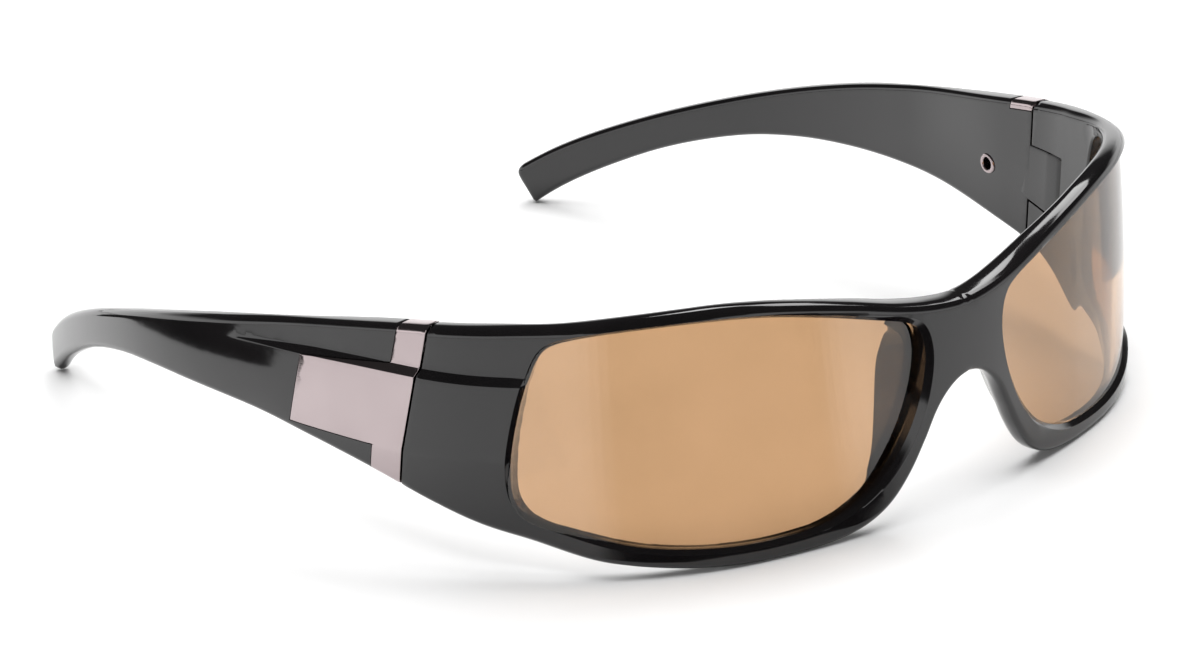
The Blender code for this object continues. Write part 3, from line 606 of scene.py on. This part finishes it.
def pale_paper():
    """Seamless background paper: matte, very slightly mottled."""
    mottle_size = 33.3 * MM
    made, tree, shader = finish("pale_background_paper", Roughness=0.9)
    place = node(tree, "ShaderNodeTexCoord").outputs["Object"]
    mottle = node(tree, "ShaderNodeTexNoise", None, {"Scale": 1 / mottle_size, "Detail": 3.0},
                  {"Vector": place})
    share = node(tree, "ShaderNodeMapRange", None, SPREAD, {"Value": mottle.outputs["Fac"]})
    white = node(tree, "ShaderNodeMix", {"data_type": "RGBA"},
                 {COLOUR_A: linear("#F4F4F4"), COLOUR_B: linear("#F0F0F0")},
                 {"Factor": share.outputs["Result"]})
    wired(tree, shader, {"Base Color": white.outputs[COLOUR_OUT]})
    return made


def black_velvet():
    """Black velvet for the cards, cut away wherever their cover fades out."""
    pile_size = 2.5 * MM
    made, tree, shader = finish("black_velvet", Roughness=1.0)
    place = node(tree, "ShaderNodeTexCoord").outputs["Object"]
    pile = node(tree, "ShaderNodeTexNoise", None, {"Scale": 1 / pile_size, "Detail": 2.0},
                {"Vector": place})
    share = node(tree, "ShaderNodeMapRange", None, SPREAD, {"Value": pile.outputs["Fac"]})
    black = node(tree, "ShaderNodeMix", {"data_type": "RGBA"},
                 {COLOUR_A: linear("#020202"), COLOUR_B: linear("#050505")},
                 {"Factor": share.outputs["Result"]})
    cover = node(tree, "ShaderNodeAttribute", {"attribute_name": "cover"})
    wired(tree, shader, {"Base Color": black.outputs[COLOUR_OUT], "Alpha": cover.outputs["Fac"]})
    return made


# ---------------------------------------------------------------- camera and light

CAMERA_PLACE = np.array([-545.33, -644.12, 319.37])
CAMERA_HEADING, CAMERA_DOWN, CAMERA_ROLL = (math.radians(a) for a in (40.13, 20.172, -4.416))
FOCAL_LENGTH = 168.02           # mm on a 36 mm wide sensor

HORIZON_LIGHT, CEILING_LIGHT = 1.5, 0.04
DIMMING = (0.22, 0.36)          # sine of the height angle over which the one turns into the other
CARD_LIFT = 0.4 * MM            # the cards' height over the floor
CARD_LENGTH = 1.5               # metres
BEHIND_TEMPLE = 0.105           # metres from the right temple to the card behind it
FLOOR_HALF = 6.0                # metres


def build_camera():
    """A long lens from the front right and above, rolled a little."""
    ahead = Vector((math.sin(CAMERA_HEADING) * math.cos(CAMERA_DOWN),
                    math.cos(CAMERA_HEADING) * math.cos(CAMERA_DOWN), -math.sin(CAMERA_DOWN)))
    level = Vector((math.cos(CAMERA_HEADING), -math.sin(CAMERA_HEADING), 0))
    upright = level.cross(ahead)
    right = level * math.cos(CAMERA_ROLL) + upright * math.sin(CAMERA_ROLL)
    up = upright * math.cos(CAMERA_ROLL) - level * math.sin(CAMERA_ROLL)
    camera = bpy.data.cameras.new("camera")
    camera.lens, camera.sensor_width = FOCAL_LENGTH, 36
    camera.clip_start, camera.clip_end = 0.05, 50
    obj = bpy.data.objects.new("camera", camera)
    obj.matrix_world = Matrix((
        (right.x, up.x, -ahead.x, CAMERA_PLACE[0] * MM), (right.y, up.y, -ahead.y, CAMERA_PLACE[1] * MM),
        (right.z, up.z, -ahead.z, CAMERA_PLACE[2] * MM), (0, 0, 0, 1)))
    bpy.context.scene.collection.objects.link(obj)
    bpy.context.scene.camera = obj


def heading(degrees):
    """Direction over the floor, turned from straight ahead of the glasses towards the right temple."""
    return np.array([-math.sin(math.radians(degrees)), -math.cos(math.radians(degrees))])


def black_card(name, near, far, cover, seen="glossy"):
    """Black velvet on the floor between two lines of points, seen by one kind of light only."""
    count = len(near)
    points = [(x, y, CARD_LIFT) for x, y in [*near, *far]]
    faces = [(i, i + 1, count + i + 1, count + i) for i in range(count - 1)]
    card = piece(name, points, faces, black_velvet())
    layer = card.data.attributes.new("cover", "FLOAT", "POINT")
    layer.data.foreach_set("value", [*cover, *cover])
    card.visible_camera = card.visible_diffuse = card.visible_shadow = False
    card.visible_volume_scatter = False
    card.visible_glossy, card.visible_transmission = seen == "glossy", seen == "transmission"


def build_cards():
    """Black cards that give the gloss its edges: by the camera, behind the right temple, and under
    the view through both layers of a lens."""
    run = np.linspace(10, 66, 29)
    near = placed(formed(run, -3.0, 0.0))[:, :2] * (-1, 1)
    turns = np.linspace(-32, 63, len(run))
    cover = fade(run, 10, 20) * (1 - fade(run, 57, 66))
    black_card("velvet_by_camera", near, [spot + heading(turn) for spot, turn in zip(near, turns)], cover)
    spots = placed(formed(np.array([124.0, 150.0, 180.0]), 0.0, 20.0))[:, :2] * (-1, 1)
    turns = (134.5, 158, 183)
    near = [spot + BEHIND_TEMPLE * heading(turn) for spot, turn in zip(spots, turns)]
    far = [spot + CARD_LENGTH * heading(turn) for spot, turn in zip(near, turns)]
    black_card("velvet_behind", near, far, [1, 1, 1])
    for side in (1, -1):
        near = [(side * 0.094, -0.07), (side * 0.098, 0.0), (side * 0.1, 0.07)]
        black_card("velvet_beside", near, [(side * 0.2, y) for _, y in near], [0.9, 0.9, 0.9],
                   "transmission")


def build_studio():
    """A bright horizon under a dark ceiling, a large softbox overhead and black cards."""
    world = bpy.data.worlds.new("studio")
    bpy.context.scene.world = world
    world.use_nodes = True
    tree = world.node_tree
    tree.nodes.clear()
    towards = node(tree, "ShaderNodeTexCoord").outputs["Generated"]
    height = node(tree, "ShaderNodeSeparateXYZ", links={"Vector": towards}).outputs["Z"]
    level = node(tree, "ShaderNodeMapRange", None,
                 {"From Min": DIMMING[0], "From Max": DIMMING[1],
                  "To Min": HORIZON_LIGHT, "To Max": CEILING_LIGHT}, {"Value": height})
    light = node(tree, "ShaderNodeBackground", None, {"Color": (1, 1, 1, 1)},
                 {"Strength": level.outputs["Result"]})
    node(tree, "ShaderNodeOutputWorld", links={"Surface": light.outputs[0]})
    for name, size, energy, place, seen in (
            ("strip_softbox", (1.3, 0.34), 8, (0.90, 0.22, 1.17), True),
            ("bounce_ceiling", (3.0, 3.0), 98, (0.0, 0.0, 2.4), False)):
        lamp = bpy.data.lights.new(name, "AREA")
        lamp.shape, lamp.energy = "RECTANGLE", energy
        lamp.size, lamp.size_y = size
        softbox = bpy.data.objects.new(name, lamp)
        softbox.location = place
        softbox.rotation_euler = Vector(place).to_track_quat("Z", "Y").to_euler()
        softbox.visible_glossy = seen
        bpy.context.scene.collection.objects.link(softbox)
    build_cards()


def build_floor():
    corners = [(x * FLOOR_HALF, y * FLOOR_HALF, 0) for x, y in ((-1, -1), (1, -1), (1, 1), (-1, 1))]
    floor = piece("floor", corners, [(0, 1, 2, 3)], pale_paper())


# ---------------------------------------------------------------- the mouldings

def split_side(gap):
    """Signed distance behind the split line, measured along the length."""
    def side(points):
        return points[:, 0] + HINGE_RAKE * (points[:, 1] - HINGE_HEIGHT) - HINGE_LENGTH - gap
    return side


def between(a, b):
    """A straight line from a to b."""
    return resampled(np.array([a, b]), EDGE_STEP)


def facets(flat):
    """Depth of the ledge and of the lower facet."""
    length, height = flat[:, 0], flat[:, 1]
    share = fade(length, RISE_START, RISE_END) * (1 - fade(length, FADE_START, FADE_END))
    up = height - smooth(LEDGE, length)
    step = softly(up, CREASE_SOFTNESS) - softly(up - LEDGE_DEPTH * share, CREASE_SOFTNESS)
    low = smooth(LOWER_CREASE, length) - height
    return step * (share > 0) + LOWER_SLOPE * share * softly(low, LOWER_SOFTNESS)


def beside_nose(length):
    """1 at the bridge, fading to 0 under the middle of the lens."""
    return 1 - fade(length, 9, 30)


def lens_bevel(flat, opening):
    """Depth of the slope that leads down to the lens, wider beside the nose."""
    width = RIM_BEVEL + (NOSE_BEVEL - RIM_BEVEL) * beside_nose(flat[:, 0])
    return softly((1 - distance(flat, opening) / width) * LENS_RECESS, 0.06)


def temple_crown(flat):
    """Depth of the temple's outer face below its ridge, behind the trim."""
    middle = (smooth(TEMPLE_TOP, flat[:, 0]) + smooth(TEMPLE_BOTTOM, flat[:, 0])) / 2
    share = fade(flat[:, 0], HINGE_LENGTH + TRIM_BLOCK - 3, HINGE_LENGTH + TRIM_BLOCK + 13)
    return share * (flat[:, 1] - middle) ** 2 / (2 * TEMPLE_CROWN)


def facet_lines(start, end):
    """Lines that the mesh follows along the ledge and the lower crease."""
    at = np.arange(start, end, EDGE_STEP)
    share = fade(at, RISE_START, RISE_END) * (1 - fade(at, FADE_START, FADE_END))
    lines = []
    for top, offset in ((0, -CREASE_SOFTNESS), (0, 0), (0, CREASE_SOFTNESS),
                        (1, -CREASE_SOFTNESS), (1, 0), (1, CREASE_SOFTNESS)):
        keep = share * LEDGE_DEPTH > (0.14 if top or offset > 0 else 0.02)
        line = np.stack([at, smooth(LEDGE, at) + top * share * LEDGE_DEPTH + offset], 1)[keep]
        if len(line) > 1:
            lines.append(line)
    keep = share > 0.02
    return lines + [np.stack([at, smooth(LOWER_CREASE, at) + offset], 1)[keep]
                    for offset in (-LOWER_SOFTNESS, 0, LOWER_SOFTNESS)]


def edge_depths(flat, edges, which):
    """Deepest rounding of all the edges. which picks the front or the back radius."""
    return np.max([rounding(distance(flat, line), radii[which]) for line, radii in edges
                   if np.any(radii[which])], axis=0)


def from_middle(points):
    """A smooth line through the points, level where it leaves the middle of the front."""
    across = (-points[1][0], points[1][1])
    return curve_through([across, *points], steps=16)[16:]


def build_front(hinge, nylon):
    before_split = split_side(-SPLIT_GAP / 2)
    bottom = clipped(from_middle(RIM_BOTTOM), lambda p: -before_split(p))
    top = clipped(from_middle(BROW_TOP), lambda p: -before_split(p))[::-1]
    bottom, top = resampled(bottom, EDGE_STEP), resampled(top, EDGE_STEP)
    opening = resampled(curve_through(OPENING, closed=True), EDGE_STEP)
    outline = [(bottom, (EDGE_ROUND[0], NOSE_ROUND[1])), (between(bottom[-1], top[0]), SPLIT_ROUND),
               (top, BROW_ROUND)]
    middle = [(between(top[-1], bottom[0]), ())]
    flat, tris = domain(outline + middle, [(opening[::-1], (0.4, RIM_BEVEL, NOSE_BEVEL))],
                        facet_lines(RISE_START, HINGE_LENGTH + 3))
    nasal = 1 - fade(flat[:, 0], 8, 26)
    lower = [far + (near - far) * nasal for far, near in zip(EDGE_ROUND, NOSE_ROUND)]
    edges = [(bottom, lower), *outline[1:], (opening, (0.0, 0.4))]
    thick = (RIM_THICKNESS + NOSE_EXTRA * beside_nose(flat[:, 0])
             + (ENDPIECE_THICKNESS - RIM_THICKNESS) * fade(flat[:, 0], ENDPIECE_START, ENDPIECE_FULL))
    face = facets(flat) + np.maximum(edge_depths(flat, edges, 0), lens_bevel(flat, opening))
    points, faces = shell(flat, tris, face, thick - edge_depths(flat, edges, 1))
    front = piece("moulded_front", placed(points), faces, nylon)
    front.data.validate()
    seat = -TONGUE_HEIGHT / 2 - SCREW_LOWER_GRIP + GAP
    top_end = TONGUE_HEIGHT / 2 + SCREW_UPPER_GRIP + GAP
    bore, recess = SCREW_RADIUS + GAP, SCREW_HEAD_RADIUS + GAP
    under = -2 * CUTTER_REACH
    mirror = front.modifiers.new("other_half", "MIRROR")
    mirror.use_axis = (True, False, False)
    mirror.merge_threshold = 0.00002
    applied(front)
    for side in (1, -1):
        cutters = [tongue_slot(hinge, nylon),
                   turned("screw_bore", [(0, under), (bore, under), (bore, top_end), (0, top_end)],
                          hinge, nylon, 32),
                   turned("screw_recess", [(0, under), (recess, under), (recess, seat), (0, seat)],
                          hinge, nylon, 32)]
        if side < 0:
            cutters = [flipped(cutter) for cutter in cutters]
        combined(front, cutters)
    wing = nose_wing(nylon)
    other = mirrored(wing, "nose_wing_right")
    combined(front, [wing, other], "UNION")
    return shaded(front)


def flipped(obj):
    """The object itself, moved to the other side."""
    obj.data.transform(Matrix.Scale(-1, 4, (1, 0, 0)))
    obj.data.flip_normals()
    return obj


def nose_wing(nylon):
    """A fin behind the nasal side of the rim, deepest above mid height and sunk into it at the ends."""
    root, sink, shift = 1.0, 0.5, 0.4
    deepest, blunt = WING_REACH - 0.6, 0.9
    path = curve_through(WING_PATH, steps=9)
    ahead = np.gradient(path, axis=0)
    ahead /= np.linalg.norm(ahead, axis=1)[:, None]
    sections = []
    for i, (place, along) in enumerate(zip(path, ahead)):
        rim = RIM_THICKNESS + NOSE_EXTRA * float(beside_nose(place[0]))
        swell = math.sin(math.pi * ((i + 0.5) / len(path)) ** 0.8) ** 1.5
        reach = deepest * swell - sink * (1 - swell)
        side = np.array([-along[1], along[0]])
        outline = [(rim - root, -0.5)]
        for k in range(9):
            angle = math.pi * k / 8
            outline.append((rim + reach - blunt * swell * (1 - math.sin(angle)),
                            -0.5 * math.cos(angle)))
        outline.append((rim - root, 0.5))
        section = []
        for depth, across in outline:
            lean = WING_FLARE * max(depth - rim, 0)
            length, height = place + side * (shift + across * WING_THICKNESS + lean)
            section.append(formed(length, depth, height))
        sections.append(placed(section))
    return lofted("nose_wing_left", sections, nylon)


def build_lens(polycarbonate):
    """The left lens, which reaches into the rim all round by its grip."""
    edge_round = 0.2
    outline = resampled(curve_through(OPENING, closed=True), EDGE_STEP)
    outline = shifted(outline, -LENS_GRIP)
    flat, tris = domain([(outline, (edge_round,))], [], [])
    edge = rounding(distance(flat, outline), edge_round)
    deep = LENS_RECESS + NOSE_RECESS * beside_nose(flat[:, 0])
    points, faces = shell(flat, tris, deep + edge, deep + LENS_THICKNESS - edge)
    return shaded(piece("tinted_lens_left", placed(points), faces, polycarbonate))


def temple_thickness(length):
    """Thickness of the temple, which thins behind the trim and again towards the tip."""
    root = ENDPIECE_THICKNESS + (TEMPLE_THICKNESS - ENDPIECE_THICKNESS) * fade(
        length, THICK_END, THIN_START)
    return root + (TIP_THICKNESS - TEMPLE_THICKNESS) * fade(length, THIN_START, TIP_CUT)


def behind(height, far):
    """Length at which a height lies that far behind the hinge's split line."""
    return HINGE_LENGTH + HINGE_RAKE * (HINGE_HEIGHT - height) + far


def trim_outline():
    """Closed outline of the trim plate: upper strip, middle block and lower strip."""
    def on(line, far):
        height = HINGE_HEIGHT
        for _ in range(5):
            height = float(smooth(line, behind(height, far)))
        return height
    ledge_near, ledge_far = on(LEDGE, TRIM_STRIP) + LEDGE_DEPTH, on(LEDGE, TRIM_BLOCK)
    crease_near, crease_far = on(LOWER_CREASE, TRIM_STRIP), on(LOWER_CREASE, TRIM_BLOCK)
    start, far = -2.0, 60.0
    corners = [(behind(-far, start), -far), (behind(-far, TRIM_STRIP), -far),
               (behind(crease_near, TRIM_STRIP), crease_near),
               (behind(crease_far, TRIM_BLOCK), crease_far),
               (behind(ledge_far, TRIM_BLOCK), ledge_far),
               (behind(ledge_near, TRIM_STRIP), ledge_near),
               (behind(far, TRIM_STRIP), far), (behind(far, start), far)]
    return [np.array(pair) for pair in zip(corners, corners[1:] + corners[:1])]


def temple_outline():
    """Edges of the temple, counter-clockwise: lower edge, end face, upper edge and split."""
    after_split = split_side(SPLIT_GAP / 2)
    foot = float(smooth(TEMPLE_BOTTOM, TIP_CUT))

    def before_tip(points):
        return TIP_CUT + TIP_SLOPE * (points[:, 1] - foot) - points[:, 0]
    bottom = clipped(clipped(curve_through(TEMPLE_BOTTOM), after_split), before_tip)
    top = clipped(clipped(curve_through(TEMPLE_TOP), after_split), before_tip)
    corner = top[-1].copy()
    top = top[np.linalg.norm(top - corner, axis=1) > TIP_CORNER]
    down = corner + (bottom[-1] - corner) * TIP_CORNER / np.linalg.norm(bottom[-1] - corner)
    t = np.linspace(0, 1, 9)[:, None]
    bend = down * (1 - t) ** 2 + 2 * corner * t * (1 - t) + top[-1] * t * t
    end = between(bottom[-1], down)
    top = np.vstack([bend[:-1], resampled(top[::-1], EDGE_STEP)])
    bottom = resampled(bottom, EDGE_STEP)
    return bottom, end, top, between(top[-1], bottom[0])


def pocket_cover(flat, trim, top):
    """Distance inside the edge of the plate's pocket at each point, on the outer face and then on
    the inner face, where only the hem wraps over."""
    loop = np.vstack([trim[0][:1], *[side[1:] for side in trim]])
    within = np.min([distance(flat, side) for side in trim], axis=0)
    within = np.where(inside(flat, loop), within, -within)
    hemmed = np.minimum(within, TRIM_HEM - distance(flat, top))
    return np.concatenate([within, hemmed])


def outward(points, faces):
    """Unit normal at each point."""
    normal = np.zeros_like(points)
    for face in faces:
        corner = points[list(face)]
        out = np.cross(corner[1] - corner[0], corner[2] - corner[0])
        for i in face:
            normal[i] += out
    return normal / np.maximum(np.linalg.norm(normal, axis=1), 1e-12)[:, None]


def build_plate(points, faces, within, nickel):
    """Sheet over the part of a surface that lies inside the pocket."""
    chosen = [face for face in faces if min(within[i] for i in face) > -1e-3]
    used = sorted({i for face in chosen for i in face})
    index = {i: k for k, i in enumerate(used)}
    plate = piece("nickel_plate_left", placed(points[used]),
                  [[index[i] for i in face] for face in chosen], nickel)
    thicken = plate.modifiers.new("thickness", "SOLIDIFY")
    thicken.thickness, thicken.offset = PLATE_SHEET * MM, -1
    return shaded(applied(plate))


def build_temple(nylon, nickel):
    """The left temple and the trim plate let into it, flush with the nylon."""
    bottom, end, top, split = temple_outline()
    edges = [(bottom, TEMPLE_ROUND), (end, TIP_ROUND), (top, TEMPLE_ROUND), (split, TEMPLE_SPLIT_ROUND)]
    trim = trim_outline()
    lines = facet_lines(HINGE_LENGTH - 4, FADE_END)
    lines += [shifted(resampled(side, EDGE_STEP), gap) for side in trim
              for gap in (-POCKET_WALL, 0.0, 0.05, 0.15)]
    lines += [shifted(top, TRIM_HEM + gap) for gap in (0.0, 0.1, -0.12)]
    flat, tris = domain(edges, [], lines)
    outer = facets(flat) + temple_crown(flat) + edge_depths(flat, edges, 0)
    inner = temple_thickness(flat[:, 0]) - edge_depths(flat, edges, 1)
    points, faces = shell(flat, tris, outer, inner)
    within = pocket_cover(flat, trim, top)
    normal = outward(points, faces)
    sunk = np.clip((within + POCKET_WALL) / POCKET_WALL, 0, 1)[:, None]
    temple = piece("moulded_temple_left", placed(points - POCKET_DEPTH * sunk * normal), faces, nylon)
    rise = PLATE_PROUD - rounding(np.maximum(within, 0), PLATE_ROUND)
    return temple, build_plate(points + normal * rise[:, None], faces, within, nickel)


def slanted(points):
    """Raises the upper end of the tongue towards its front, so that it follows the temple."""
    return [(x, y, z + TONGUE_SLANT * (SPLIT_AHEAD - y) * min(max(z / TONGUE_HEIGHT + 0.5, 0), 1))
            for x, y, z in points]


def tongue_slot(hinge, nylon):
    """Room for the tongue in the endpiece, open towards the inside."""
    wall, half = TONGUE_THICKNESS / 2 + GAP, TONGUE_HEIGHT / 2 + GAP
    sections = [slanted([(-CUTTER_REACH, -wall - GAP, z), (wall, -wall - GAP, z),
                         (wall, CUTTER_REACH, z), (-CUTTER_REACH, CUTTER_REACH, z)])
                for z in (-half, half)]
    return lofted("tongue_slot", [in_frame(section, hinge) for section in sections], nylon)


def build_tongue(hinge, nylon):
    """Hinge tongue round the pin, flush with the inside of the temple, with softened ends."""
    wall, half, soft = TONGUE_THICKNESS / 2, TONGUE_HEIGHT / 2, 0.9
    flank_start, flush, taper = 1.6, 0.006, 0.1
    origin, axes = hinge
    inner = formed(HINGE_LENGTH - PIN_AHEAD + np.arange(-4.0, 20.0), ENDPIECE_THICKNESS, HINGE_HEIGHT)
    inner = (inner - origin) @ axes.T
    steps = [soft * (1 - math.cos(math.pi / 2 * k / 5)) for k in range(6)]
    heights = [(-half + s, rounding(s, soft)) for s in steps]
    heights += [(-z, e) for z, e in heights[::-1]]
    sections = []
    for z, inset in heights:
        thin = wall - taper * inset / soft
        run = np.linspace(PIN_AHEAD + TONGUE_ROOT, flank_start, 12)
        section = [(thin, y, z) for y in run]
        for k in range(17):
            angle = math.pi * k / 16
            section.append((thin * math.cos(angle), inset - wall * math.sin(angle)
                            * (1 - inset / wall * 0.4), z))
        proud = flush - taper * inset / soft
        section += [(np.interp(y, inner[:, 1], inner[:, 0]) - proud
                     + 0.3 * max(y - PIN_AHEAD - 1, 0), y, z) for y in run[::-1]]
        sections.append(in_frame(slanted(section), hinge))
    return lofted("hinge_tongue_left", sections, nylon)


def eyelet_low():
    """Depth of the eyelet's face, on the stud's frame."""
    return -float(temple_thickness(HINGE_LENGTH + STUD_BACK)) - EYELET_STAND


def build_eyelet(nickel):
    """A ring with a rounded face, sunk into the inside of the temple round the stud's hole."""
    low, deep, bulge = eyelet_low(), 0.9, 0.3
    middle, tube = (EYELET_RADIUS + STUD_HOLE) / 2, (EYELET_RADIUS - STUD_HOLE) / 2
    profile = [(EYELET_RADIUS, low + deep)]
    for k in range(9):
        angle = math.pi * k / 8
        profile.append((middle + tube * math.cos(angle), low + bulge * (1 - math.sin(angle))))
    profile.append((STUD_HOLE, low + deep))
    return shaded(turned("nickel_eyelet_left", profile, stud_frame(), nickel, 96))


def build_screw(hinge, steel):
    """Hinge screw with its slotted head below."""
    slot_half, slot_depth = 0.18, 0.36
    seat = -TONGUE_HEIGHT / 2 - SCREW_LOWER_GRIP
    top, soft = TONGUE_HEIGHT / 2 + SCREW_UPPER_GRIP, 0.12
    bottom = seat - SCREW_HEAD_HEIGHT
    profile = [(0, bottom), (SCREW_HEAD_RADIUS - soft, bottom), (SCREW_HEAD_RADIUS, bottom + soft),
               (SCREW_HEAD_RADIUS, seat - soft), (SCREW_HEAD_RADIUS - soft, seat),
               (SCREW_RADIUS, seat), (SCREW_RADIUS, top - soft), (SCREW_RADIUS - soft, top), (0, top)]
    screw = turned("steel_screw_left", profile, hinge, steel)
    slot = box("driver_slot", (-2, -slot_half, bottom - 1), (2, slot_half, bottom + slot_depth),
               hinge, steel)
    return shaded(combined(screw, [slot]))


def main():
    build_camera()
    build_studio()
    build_floor()
    nylon, polycarbonate = moulded_nylon(), tinted_polycarbonate()
    nickel, steel = satin_nickel(), turned_steel()
    hinge = hinge_frame()
    front = build_front(hinge, nylon)
    temple, plate = build_temple(nylon, nickel)
    low, high = eyelet_low() - 2, eyelet_low() + 1.5
    combined(temple, [turned("stud_bore", [(0, low), (STUD_HOLE, low), (STUD_HOLE, high), (0, high)],
                             stud_frame(), nylon, 48)])
    shaded(combined(temple, [build_tongue(hinge, nylon)], "UNION"))
    lefts = [(build_lens(polycarbonate), "front", "lens", "brown_lens"),
             (build_screw(hinge, steel), "front", "hinge_screw", "steel"),
             (temple, "temple", "temple", "black_nylon"),
             (plate, "temple", "trim_plate", "satin_nickel"),
             (build_eyelet(nickel), "temple", "trim_eyelet", "satin_nickel")]
    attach(front, "front")
    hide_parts("front_frame")
    for left, body, cad, slot in lefts:
        right = mirrored(left, left.name.replace("_left", "_right"))
        for obj, side in ((left, "left"), (right, "right")):
            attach(obj, "front" if body == "front" else side + "_temple")
            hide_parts(cad + "_" + side)
    bpy.context.scene.view_settings.view_transform = "Standard"


main()
